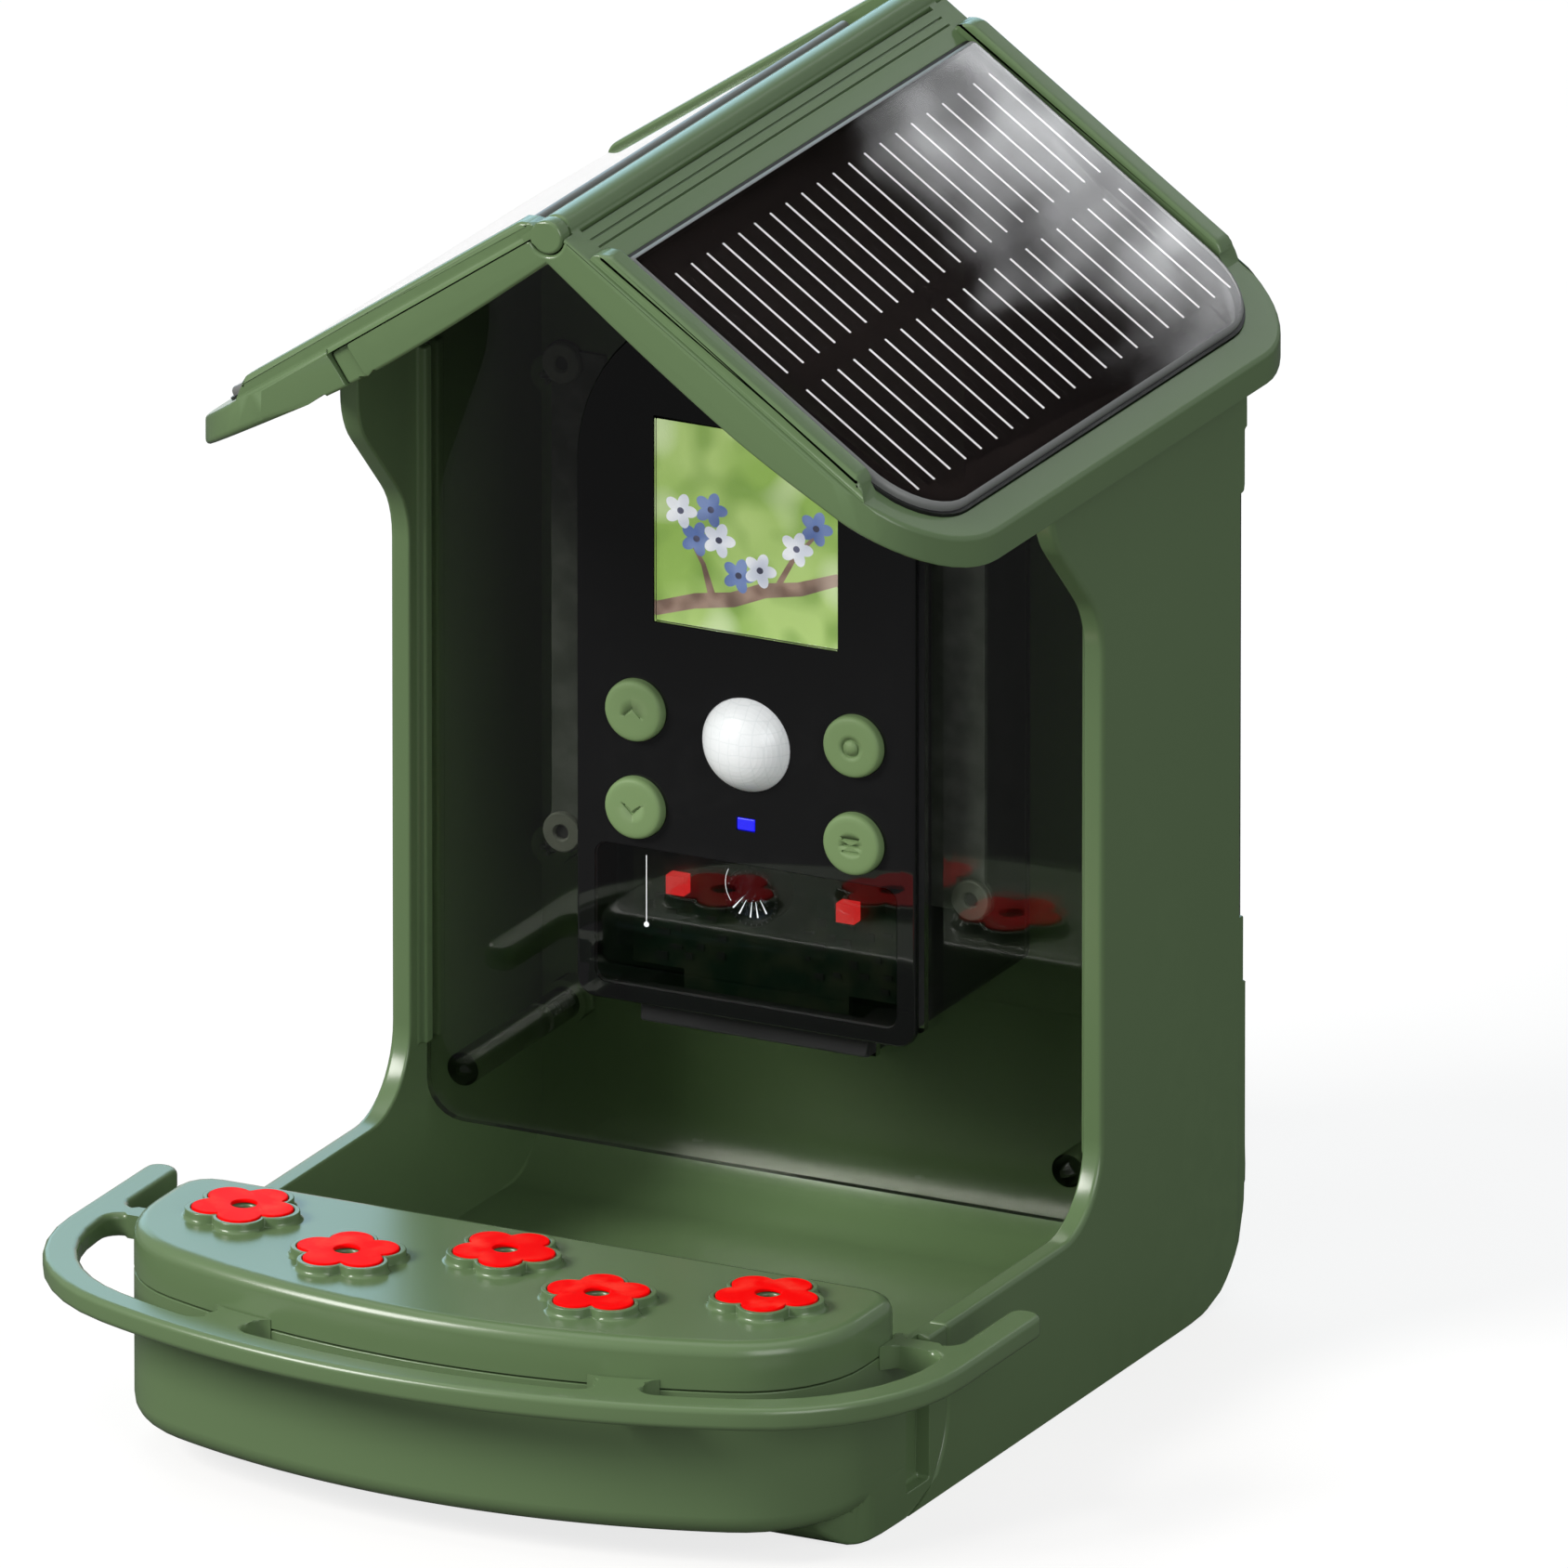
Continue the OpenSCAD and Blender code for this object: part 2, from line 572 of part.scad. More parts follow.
// outline of a slope, square to it at the ridge and upright at the eave
module slope_outline(s0) intersection() {
    box(s0, slope_l + eave_run, -roof_front - 1, roof_back + 1, -cut_h, cut_h);
    multmatrix([[1, 0, -tan(roof_pitch), 0], [0, 1, 0, 0], [0, 0, 1, 0]]) along_z(-cut_h, cut_h) polygon(concat(
        arc([slope_l - eave_rear_r, roof_back - eave_rear_r], eave_rear_r, 0, 90, 12), [[-30, roof_back], [-30, -roof_front]],
        arc([slope_l - eave_front_r, eave_front_r - roof_front], eave_front_r, 270, 360, 12)));
}
module slope_underside() along_y(-far, far) polygon(concat(
    [[-8, cut_h], [slope_l + eave_run, cut_h], [slope_l + eave_run, -eave_drop]], [for (i = [24 : -1 : 0]) [slope_l * i / 24, -drop(slope_l * i / 24)]],
    [[-8, -ridge_drop]]));
module parapets(s0) intersection() {
    union() for (side = [-1, 1]) rim(side, s0, 96) polygon(parapet_shape());
    along_y(-far, far) polygon(concat([[s0, -2], [s0, 0.8], [s0 + 1.2, parapet_h - 1.1], [s0 + 3, parapet_h]],
        arc([parapet_end - 6, parapet_h - 4], 4, 90, 45, 4), [[parapet_end, -0.4], [parapet_end, -2]]));
    slope_outline(s0 - 1);
}
panel_y0 = panel_edge - roof_front;
panel_y1 = roof_back - panel_edge;
module panel_plan(grow) polygon(round_rect(panel_start - grow, panel_start + panel_w + grow, panel_y0 - grow, panel_y1 + grow, 1.5, panel_r + grow, 10));

// skin, ridge beam and eave of one slope, with the pockets for panel and liner
// rims start at rim_s, and gap keeps the skin away from the gable arms before that
module slope_body(s0, rim_s, gap) difference() {
    intersection() {
        slope_outline(s0);
        slope_underside();
        union() {
            box(s0, slope_l + eave_run, rim_w - roof_front + gap, roof_back - rim_w - gap, -skin_t, 0);
            box(s0, beam_end, rim_w - roof_front + gap, roof_back - rim_w - gap, -slab_t, 0);
            box(s0, slope_l + eave_run, -roof_front + rim_step, roof_back - rim_step, -lid_rim_t, 0);
            box(rim_s, slope_l + eave_run, rim_w - roof_front - 1, roof_back - rim_w + 1, -skin_t, 0);
            box(liner_s1 + fit, slope_l + eave_run, -roof_front, roof_back, -cut_h, 0);
            for (side = [-1, 1]) rim(side, rim_s, slope_l + eave_run) polygon(pad_shape());
        }
    }
    along_z(-glass_seat, 12) panel_plan(seal_w + snug);
    difference() {
        box(liner_s0 + 4, liner_s1 - 4, rim_w - roof_front + 4, roof_back - rim_w - 4, -skin_t - 1, wire_gap - skin_t);
        for (i = [0 : 2]) rod_z(roof_screw_s[i], roof_screw_y[i], -skin_t - 2, 0, 3.5);
    }
    // seat on top of the housing's side wall
    box(liner_s1, wall_end_s, -lean_out - 0.5, housing_d + 0.5, -13, -slab_t);
}
// the bead along the ridge, and the lid's lugs at its two ends
bead_y0 = lug_l + fit - roof_front;
bead_y1 = roof_back - lug_l - fit;
lugs = [[-roof_front, lug_l - roof_front], [roof_back - lug_l, roof_back]];

module roof_frame() color(green) placed() difference() {
    union() {
        difference() {
            union() {
                on_slope(1) difference() {
                    union() {
                        slope_body(lid_edge, 0, -1);
                        parapets(11);
                        box(knuckle_s, lid_edge + 1, bead_y0, bead_y1, -slab_t, -1.2);
                    }
                    // grooves beside the ridge
                    for (s = [lid_edge + 2, lid_edge + 4.2]) box(s, s + 0.5, rim_w - roof_front, roof_back - rim_w, -0.5, 1);
                    for (i = [0 : 2]) rod_z(roof_screw_s[i], roof_screw_y[i], -slab_t - 1, -2, screw_r + run);
                }
                // gable arms under the lid
                on_slope(-1) intersection() {
                    slope_underside();
                    union() for (side = [-1, 1]) {
                        rim(side, 0, arm_pad_end) polygon(pad_shape());
                        rim(side, arm_pad_end - 1, arm_end) polygon([[0, -12], [0, -0.5], [rim_w - 1, -0.5], [rim_w - 1, -12]]);
                    }
                }
                for (side = [-1, 1]) on_slope(1) intersection() {
                    slope_underside();
                    rim(side, 0, lid_edge + 1) polygon(pad_shape());
                }
            }
            // room for the lid's rims on the arms
            on_slope(-1) box(-2, slope_l, -roof_front - 1, roof_back + 1, -lid_rim_t - fit, 6);
        }
        rod_y(0, hinge_z, bead_y0, bead_y1, barrel_r);
    }
    rod_y(0, hinge_z, -roof_front - 1, bead_y0, barrel_r + fit);
    rod_y(0, hinge_z, bead_y1, roof_back + 1, barrel_r + fit);
    rod_y(0, hinge_z, -roof_front, roof_back, hinge_pin_r + run);
}

module filler_lid() color(green) placed() difference() {
    union() {
        difference() {
            on_slope(-1) {
                slope_body(lid_edge, arm_end + fit, fit);
                parapets(knuckle_s);
                for (k = lugs) box(knuckle_s, lid_edge + 1, k[0], k[1], -lid_rim_t, 0.6);
            }
            // room for the fixed bead of the ridge
            rod_y(0, hinge_z, bead_y0 - fit, bead_y1 + fit, barrel_r + fit);
        }
        for (k = lugs) rod_y(0, hinge_z, k[0], k[1], barrel_r);
    }
    rod_y(0, hinge_z, pin_y0 - 0.1, roof_back + 1, hinge_pin_r + run);
}

pin_y0 = 1.2 - roof_front;
module hinge_pin() color(steel) placed() rod_y(0, hinge_z, pin_y0, roof_back - 0.5, hinge_pin_r);

module liner(side) placed() on_slope(side)
    along_z(-slab_t, -skin_t) difference() {
        polygon(round_rect(liner_s0, liner_s1, rim_w - roof_front + fit, roof_back - rim_w - fit, 2, 2));
        if (side > 0) for (i = [0 : 2]) translate([roof_screw_s[i], roof_screw_y[i]]) circle(r = screw_r + run);
    }
module roof_liner() color(black) liner(1);
module lid_liner() color(black) liner(-1);

module roof_screws() color(steel) placed() on_slope(1) for (i = [0 : 2]) {
    rod_z(roof_screw_s[i], roof_screw_y[i], -slab_t - ledge_t - head_t, -slab_t - ledge_t, head_r);
    rod_z(roof_screw_s[i], roof_screw_y[i], -slab_t - ledge_t, -2.2, screw_r);
}

module panel_glass(side) color(black) placed() on_slope(side) along_z(cells_t - glass_seat, cells_t - glass_seat + panel_glass_t) panel_plan(0);
module panel_cells(side) color([0.12, 0.09, 0.09]) placed() on_slope(side) along_z(-glass_seat, cells_t - glass_seat) panel_plan(0);
module panel_seal(side) color(black) placed() on_slope(side) along_z(-glass_seat, 0.6) difference() {
    panel_plan(seal_w);
    panel_plan(snug);
}
board_s0 = 22;
board_y0 = 20;
module charge_board() color(board) placed() on_slope(1) {
    box(board_s0, board_s0 + 28, board_y0, board_y0 + 24, -slab_t - board_t, -slab_t);
    box(board_s0 + 14, board_s0 + 24, board_y0 + 4, board_y0 + 12, -slab_t - board_t - 2.4, -slab_t - board_t);
}
lead_x = 17.5;
lead_y = board_y0 + 12;
module panel_lead() color(black) placed()
    rod_z(lead_x, lead_y, bezel_arch_z + sqrt(pow(case_x, 2) - pow(lead_x - 1.6, 2)) + 0.1, gable_z(lead_x + 1.6, slab_t + board_t) - 0.1, 1.6);

module front_bezel() color(black) placed() along_y(0, bezel_t) difference() {
    polygon(arch(bezel_x, bezel_z, 4));
    translate([-display_w / 2, display_z - display_h / 2]) square([display_w, display_h]);
    for (x = [-1, 1] * button_cols / 2, z = [button_hi_z, button_lo_z]) translate([x, z]) circle(r = button_r + 0.15);
    translate([0, motion_z]) circle(r = motion_r + snug);
    translate([-2 - snug, button_lo_z - 1.3 - snug]) square([4 + 2 * snug, 2.6 + 2 * snug]);
    polygon(round_rect(-bezel_x + 4, bezel_x - 4, bezel_z + 3.5, lens_z + 8, 3, 3));
}
module lens_window() color(smoke) placed() along_y(0, bezel_t)
    polygon(round_rect(-bezel_x + 4 + snug, bezel_x - 4 - snug, bezel_z + 3.5 + snug, lens_z + 8 - snug, 2.9, 2.9));
module screen_glass() color(smoke) placed() along_y(0, bezel_t - 0.2)
    translate([snug - display_w / 2, display_z - display_h / 2 + snug]) square([display_w - 2 * snug, display_h - 2 * snug]);
module display_panel() color([0.4, 0.55, 0.3]) placed()
    box(-display_w / 2 - 3, display_w / 2 + 3, bezel_t, bezel_t + 3, display_z - display_h / 2 - 4, display_z + display_h / 2 + 3);

// cap through the bezel with a flange behind it
module button(x, z) color([0.47, 0.57, 0.39]) placed() {
    rod_y(x, z, -2.2, bezel_t + 0.2, button_r);
    rod_y(x, z, bezel_t + 0.05, bezel_t + 1.1, button_r + flange);
}
module button_up() button(-button_cols / 2, button_hi_z);
module button_down() button(-button_cols / 2, button_lo_z);
module button_ok() button(button_cols / 2, button_hi_z);
module button_menu() button(button_cols / 2, button_lo_z);

module key_board() color(board) placed() difference() {
    box(-case_x + 3.5, case_x - 3.5, key_y, key_y + board_t, lens_z + 9.5, display_z - display_h / 2 - 9);
    rod_y(0, motion_z, key_y - 1, key_y + 3, 2);
}
module key_switches() color(steel) placed()
    for (x = [-1, 1] * button_cols / 2, z = [button_hi_z, button_lo_z]) {
        box(x - 3, x + 3, key_y - 2.4, key_y, z - 3, z + 3);
        rod_y(x, z, bezel_t + 1.2 + button_travel, key_y - 2, 1.6);
    }

motion_h = 6;
motion_ball = (pow(motion_r, 2) + pow(motion_h + 0.3, 2)) / (2 * (motion_h + 0.3));
module motion_lens() color(white) placed() translate([0, 0, motion_z]) rotate([90, 0, 0]) rotate_extrude()
    polygon(concat([[0, motion_h - 1.1], [0, motion_h]],
        [for (i = [1 : 12]) let (a = asin(motion_r / motion_ball) * i / 12) [motion_ball * sin(a), motion_h - motion_ball * (1 - cos(a))]],
        [[motion_r, -bezel_t - 0.05], [motion_r + 1.3, -bezel_t - 0.05], [motion_r + 1.3, -bezel_t - 1], [motion_r - 1.2, -bezel_t - 1]],
        [for (i = [12 : -1 : 1]) let (a = asin(motion_r / motion_ball) * i / 12) [(motion_ball - 1.2) * sin(a), motion_h - 1.1 - (motion_ball - 1.2) * (1 - cos(a))]]));
module motion_sensor() color(steel) placed() {
    rod_y(0, motion_z, key_y - 4.4, key_y, 4.6);
}
module status_light() color([0.1, 0.1, 0.9]) placed() box(-2, 2, 0, key_y, button_lo_z - 1.3, button_lo_z + 1.3);
module infrared_lamps() color(red) placed() for (x = [-19.1, 19.1]) box(x - 2, x + 2, sensor_y - 3, sensor_y, lens_z - 3.5, lens_z + 0.5);
module lens_barrel() color(black) placed() difference() {
    rod_y(0, lens_z, bezel_t + 1.2, sensor_y, 6.2);
    rod_y(0, lens_z, bezel_t, bezel_t + 3, 5);
    rod_y(0, lens_z, bezel_t, sensor_y + 1, 3);
}
module lens_glass() color(smoke) placed() translate([0, bezel_t + 3, lens_z]) rotate([90, 0, 0]) rotate_extrude()
    polygon(concat([[0, 0], [4.95, 0]], arc([0, -5.6], 7.9, 51.3, 90, 8)));
module sensor_board() color(board) placed() {
    box(-case_x + 6.5, case_x - 6.5, sensor_y, sensor_y + board_t, case_z + 4, lens_z + 7);
    box(-plug_x, plug_x, sensor_y, sensor_y + board_t, port_z + case_wall + snug, case_z + 5);
}
module main_board() color(board) placed() {
    along_y(main_y, main_y + board_t) polygon(arch(case_x - 3.5, case_z + 3, 1));
    box(-14, 2, main_y - chip_t, main_y, 108, 124);
    box(10, 20, main_y - chip_t, main_y, 128, 138);
}
slot_y = sensor_y + board_t;
module card_slot() color(steel) placed() box(3, 17.4, slot_y, slot_y + 2, port_z + 3.2, port_z + 18);
port_h = 3.2;
port_shell = 0.6;
module charge_port() color(steel) placed() difference() {
    box(-16, -7, slot_y, slot_y + port_h, port_z + 2.2, port_z + 9.5);
    box(port_shell - 16, -7 - port_shell, slot_y + port_shell, slot_y + port_h - port_shell, port_z + 2, port_z + 8.5);
}
module port_cover() color(black) placed() {
    box(-plug_x - 1.5, plug_x + 1.5, plug_y0 - 1.5, plug_y1 + 1.5, port_z - 1.6, port_z - snug);
    box(snug - plug_x, plug_x - snug, plug_y0 + snug, plug_y1 - snug, port_z - snug - 0.1, port_z + 1.7);
}

module camera_case() color(black) placed() difference() {
    union() {
        difference() {
            along_y(bezel_t, case_back) polygon(arch(case_x, case_z, 3));
            along_y(bezel_t - 1, case_back + 1) polygon(arch(case_x - case_wall, case_z + case_wall, 2));
        }
        box(-port_x, port_x, port_y0, port_y1, port_z, case_z + case_wall);
        for (side = [-1, 1]) {
            rod_y(side * post_low_x, post_low_z, main_y + board_t, case_back, case_post_r);
            rod_y(side * post_top_x, post_top_z, main_y + board_t, case_back, case_post_r);
        }
        // ribs that the two front boards lie on
        for (side = [0, 1]) mirror([side, 0, 0]) {
            box(rib_in, case_x - 1, sensor_y + board_t, sensor_y + board_t + rib_t, case_z + 6, lens_z + 5);
            box(rib_in, case_x - 1, key_y + board_t, key_y + board_t + rib_t, lens_z + 12, display_z - display_h / 2 - 12);
        }
    }
    box(-port_x + case_wall, port_x - case_wall, port_y0 + case_wall, port_y1 - case_wall, port_z + case_wall, case_z + case_wall + 1);
    box(-plug_x, plug_x, plug_y0, plug_y1, port_z - 1, port_z + 3);
    for (side = [-1, 1]) {
        rod_y(side * post_low_x, post_low_z, bore_y, case_back + 1, screw_r + run);
        rod_y(side * post_top_x, post_top_z, bore_y, case_back + 1, screw_r + run);
    }
}
module camera_back() color(black) placed() difference() {
    union() {
        along_y(case_back, case_back + back_t) polygon(arch(case_x, case_z, 3));
        for (z = camera_boss_z) rod_y(0, z, case_back - 8, case_back + 1, camera_post_r);
    }
    for (z = camera_boss_z) rod_y(0, z, case_back - 7, case_back + 3, screw_r + run);
    for (side = [-1, 1]) {
        rod_y(side * post_low_x, post_low_z, case_back - 1, case_back + 3, screw_r + run);
        rod_y(side * post_top_x, post_top_z, case_back - 1, case_back + 3, screw_r + run);
    }
}
module case_screws() color(steel) placed() for (side = [-1, 1], p = [[post_low_x, post_low_z], [post_top_x, post_top_z]]) {
    rod_y(side * p[0], p[1], case_back + back_t, case_back + back_t + head_t, head_r);
    rod_y(side * p[0], p[1], bore_y + 2, case_back + back_t, screw_r);
}
module camera_screws() color(steel) placed() for (z = camera_boss_z) {
    rod_y(0, z, housing_d - rebate - strap_d - head_t, housing_d - rebate - strap_d, head_r);
    rod_y(0, z, case_back - 6, housing_d - rebate - strap_d - head_t, screw_r);
}
module battery_cells() color([0.2, 0.35, 0.6]) placed()
    for (z = cell_z) translate([-cell_l / 2, cell_y, z]) rotate([0, 90, 0]) cylinder(h = cell_l, r = cell_r);
module battery_holder() color(black) placed() difference() {
    box(-case_x + 3, case_x - 3, cell_y, case_back, cell_z[0] - 12, cell_z[1] + 7);
    for (z = cell_z) translate([-cell_l / 2 - 5, cell_y, z]) rotate([0, 90, 0]) cylinder(h = cell_l + 10, r = cell_r + snug);
}

module rear_plate() color(black) placed() difference() {
    along_y(housing_d - rebate, housing_d - rebate + plate_t)
        polygon([for (p = round_rect(plate_z0, plate_z1, 2 - half_w, half_w - 2, 7, 2)) [p[1], p[0]]]);
    for (side = [-1, 1], z = plate_boss_z) rod_y(side * plate_boss_x, z, 0, far, screw_r + run);
    for (x = [-1, 1] * wall_hole_x / 2, z = [wall_z - wall_hole_z / 2, wall_z + wall_hole_z / 2]) rod_y(x, z, 0, far, wall_hole_r);
}
wall_z = (strap_z0 + strap_z1) / 2;
module plate_screws() color(steel) placed() for (side = [-1, 1], z = plate_boss_z)
    screw_y(side * plate_boss_x, z, back_in - boss_l - head_t, housing_d - rebate + plate_t - 0.4);
module tripod_insert() color([0.75, 0.6, 0.3]) placed() difference() {
    rod_y(0, tripod_z, housing_d - insert_l, housing_d, insert_r);
    rod_y(0, tripod_z, housing_d - insert_l + 1, housing_d + 1, tripod_r);
}

housing();
seed_window();
window_screws();
front_tray();
tray_screws();
tray_cover();
flower(1);  // flower_1
flower(2);  // flower_2
flower(3);  // flower_3
flower(4);  // flower_4
flower(5);  // flower_5
perch_ring();
roof_frame();
roof_liner();
roof_screws();
filler_lid();
lid_liner();
hinge_pin();
panel_glass(1);  // panel_glass_right
panel_glass(-1);  // panel_glass_left
panel_cells(1);  // panel_cells_right
panel_cells(-1);  // panel_cells_left
panel_seal(1);  // panel_seal_right
panel_seal(-1);  // panel_seal_left
charge_board();
panel_lead();
front_bezel();
lens_window();
screen_glass();
display_panel();
button_up();
button_down();
button_ok();
button_menu();
key_board();
key_switches();
motion_lens();
motion_sensor();
status_light();
infrared_lamps();
lens_barrel();
lens_glass();
sensor_board();
main_board();
card_slot();
charge_port();
port_cover();
camera_case();
camera_back();
case_screws();
camera_screws();
battery_cells();
battery_holder();
rear_plate();
plate_screws();
tripod_insert();
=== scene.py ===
"""Looks of the seed feeder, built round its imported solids. Metres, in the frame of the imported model."""
import json
import math

import bmesh
import bpy
from mathutils import Matrix, Vector
from mathutils.kdtree import KDTree


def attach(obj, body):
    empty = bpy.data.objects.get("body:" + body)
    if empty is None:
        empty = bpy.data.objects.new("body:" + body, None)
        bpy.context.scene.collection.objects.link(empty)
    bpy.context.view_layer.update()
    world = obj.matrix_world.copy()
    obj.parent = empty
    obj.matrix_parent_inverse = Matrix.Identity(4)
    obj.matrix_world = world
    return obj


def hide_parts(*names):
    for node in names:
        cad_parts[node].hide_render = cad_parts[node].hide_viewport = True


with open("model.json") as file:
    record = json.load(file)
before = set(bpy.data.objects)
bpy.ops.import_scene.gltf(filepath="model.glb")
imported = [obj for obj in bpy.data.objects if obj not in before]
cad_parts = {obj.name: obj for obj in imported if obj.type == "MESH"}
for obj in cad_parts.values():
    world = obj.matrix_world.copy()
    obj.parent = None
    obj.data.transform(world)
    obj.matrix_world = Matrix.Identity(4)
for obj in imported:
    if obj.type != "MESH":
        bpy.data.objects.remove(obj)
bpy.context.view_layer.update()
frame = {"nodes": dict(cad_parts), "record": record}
MM = 0.001

# Sizes that the CAD source sets, in millimetres. Y counts from the front edges of the side walls.
WALL_Y = 38.3
ROOF_APEX = 260.0
ROOF_PITCH = math.radians(34.4)
SLOPE_LENGTH = 104.834
BEZEL_DEPTH = 2.0
DISPLAY_WIDTH = 41.4
DISPLAY_HEIGHT = 43.3
DISPLAY_Z = 167.9
BUTTON_X = 24.5
BUTTON_HIGH_Z = 127.1
BUTTON_LOW_Z = 106.4
LENS_Z = 90.0
GLASS_SEAT = 1.6
CELL_SHEET = 0.8


def slope_frame(side):
    """Places a mesh that is drawn flat in millimetres on a roof slope. The left slope runs down along -X."""
    return (Matrix.Scale(MM, 4) @ Matrix.Translation((0, WALL_Y, ROOF_APEX))
            @ Matrix.Rotation(side * ROOF_PITCH, 4, "Y"))


SHELL_FRAME = Matrix.Scale(MM, 4) @ Matrix.Translation((0, WALL_Y, 0))


# Node trees

def add_node(tree, kind, ends=None, **settings):
    """Adds a node with its settings. Each of its ends is a value or another node's output."""
    made = tree.nodes.new(kind)
    for key, value in settings.items():
        setattr(made, key, value)
    for key, end in (ends or {}).items():
        feed(tree, end, made.inputs[key])
    return made


def socket_kind(value):
    """The kind of socket that a value asks for."""
    if isinstance(value, tuple):
        return "NodeSocketColor" if len(value) == 4 else "NodeSocketVector"
    return "NodeSocketInt" if isinstance(value, int) else "NodeSocketFloat"


def add_inputs(group, inputs):
    """Named inputs of a node group, with their values."""
    for label, value in inputs.items():
        socket = group.interface.new_socket(label, in_out="INPUT", socket_type=socket_kind(value))
        socket.default_value = value


def shader_group(name, inputs, outputs):
    """An empty shader node group with named sockets, and its two end nodes."""
    group = bpy.data.node_groups.new(name, "ShaderNodeTree")
    add_inputs(group, inputs)
    for label in outputs:
        kind = "NodeSocketColor" if label == "Colour" else "NodeSocketFloat"
        group.interface.new_socket(label, in_out="OUTPUT", socket_type=kind)
    return group, group.nodes.new("NodeGroupInput"), group.nodes.new("NodeGroupOutput")


def feed(tree, end, socket):
    """Puts a value, or another node's output, into a socket."""
    if isinstance(end, bpy.types.NodeSocket):
        tree.links.new(end, socket)
    else:
        socket.default_value = end


def colour_mix(tree, factor, low, high):
    """A colour mix; each of its three ends is a value or another node's output."""
    made = add_node(tree, "ShaderNodeMix", {0: factor, 6: low, 7: high}, data_type="RGBA")
    return made.outputs[2]


def span(tree, value, from_low, from_high, to_low, to_high):
    """Maps a value from one range to another, clamped."""
    made = add_node(tree, "ShaderNodeMapRange", {"Value": value, "From Min": from_low, "From Max": from_high,
                                                 "To Min": to_low, "To Max": to_high})
    return made.outputs[0]


def maths(tree, operation, *ends):
    """One sum or product of values and node outputs."""
    return add_node(tree, "ShaderNodeMath", dict(enumerate(ends)), operation=operation).outputs[0]


def object_noise(tree, scale, detail=2.0, stretch=None):
    """Noise on object coordinates. Scale is a value or another node's output."""
    place = add_node(tree, "ShaderNodeTexCoord").outputs["Object"]
    if stretch:
        place = add_node(tree, "ShaderNodeMapping", {"Vector": place, "Scale": stretch}).outputs[0]
    made = add_node(tree, "ShaderNodeTexNoise", {"Vector": place, "Detail": detail, "Scale": scale})
    return made.outputs["Fac"]


SURFACE_OUTPUTS = ("Colour", "Roughness", "Height")


def moulded_surface():
    """Moulded plastic: cloudy colour, fine grain, uneven gloss and rubbed edges."""
    inputs = {"Colour": (0.1, 0.2, 0.1, 1), "Cloud Colour": (0.1, 0.2, 0.1, 1),
              "Rubbed Colour": (0.3, 0.4, 0.3, 1), "Rub": 0.3, "Grain Scale": 2500.0,
              "Roughness Low": 0.3, "Roughness High": 0.4}
    tree, start, end = shader_group("moulded_surface", inputs, SURFACE_OUTPUTS)
    cloud = span(tree, object_noise(tree, 14.0, 2.0), 0.3, 0.7, 0.0, 1.0)
    body = colour_mix(tree, cloud, start.outputs["Colour"], start.outputs["Cloud Colour"])
    point = add_node(tree, "ShaderNodeNewGeometry").outputs["Pointiness"]
    edge = span(tree, point, 0.54, 0.66, 0.0, 1.0)
    worn = span(tree, object_noise(tree, 180.0, 3.0), 0.4, 0.65, 0.0, 1.0)
    mask = maths(tree, "MULTIPLY", maths(tree, "MULTIPLY", edge, worn), start.outputs["Rub"])
    gloss = span(tree, object_noise(tree, 60.0, 3.0), 0.3, 0.7, start.outputs["Roughness Low"],
                 start.outputs["Roughness High"])
    feed(tree, colour_mix(tree, mask, body, start.outputs["Rubbed Colour"]), end.inputs["Colour"])
    feed(tree, gloss, end.inputs["Roughness"])
    feed(tree, object_noise(tree, start.outputs["Grain Scale"], 1.0), end.inputs["Height"])
    return tree


def brushed_surface():
    """Metal with fine drawn lines along one way."""
    inputs = {"Colour": (0.6, 0.6, 0.62, 1), "Dull Colour": (0.4, 0.4, 0.42, 1), "Roughness Low": 0.2,
              "Roughness High": 0.4}
    tree, start, end = shader_group("brushed_surface", inputs, SURFACE_OUTPUTS)
    lines = object_noise(tree, 900.0, 2.0, (1.0, 1.0, 14.0))
    dull = span(tree, object_noise(tree, 200.0, 4.0), 0.4, 0.7, 0.0, 1.0)
    gloss = span(tree, lines, 0.3, 0.7, start.outputs["Roughness Low"], start.outputs["Roughness High"])
    body = colour_mix(tree, dull, start.outputs["Colour"], start.outputs["Dull Colour"])
    feed(tree, body, end.inputs["Colour"])
    feed(tree, gloss, end.inputs["Roughness"])
    feed(tree, lines, end.inputs["Height"])
    return tree


def facet_relief():
    """Small flat facets, such as the inside of a motion lens, as a colour mask and a height."""
    tree, start, end = shader_group("facet_relief", {"Facet Scale": 420.0, "Line": 0.08}, ("Mask", "Height"))
    place = add_node(tree, "ShaderNodeTexCoord").outputs["Object"]
    place = add_node(tree, "ShaderNodeMapping", {"Vector": place, "Scale": (1.0, 0.15, 1.0)}).outputs[0]
    cells = add_node(tree, "ShaderNodeTexVoronoi", {"Vector": place, "Scale": start.outputs["Facet Scale"],
                                                    "Randomness": 0.18}, feature="DISTANCE_TO_EDGE")
    edge = cells.outputs["Distance"]
    feed(tree, span(tree, edge, 0.0, start.outputs["Line"], 0.0, 1.0), end.inputs["Mask"])
    feed(tree, edge, end.inputs["Height"])
    return tree


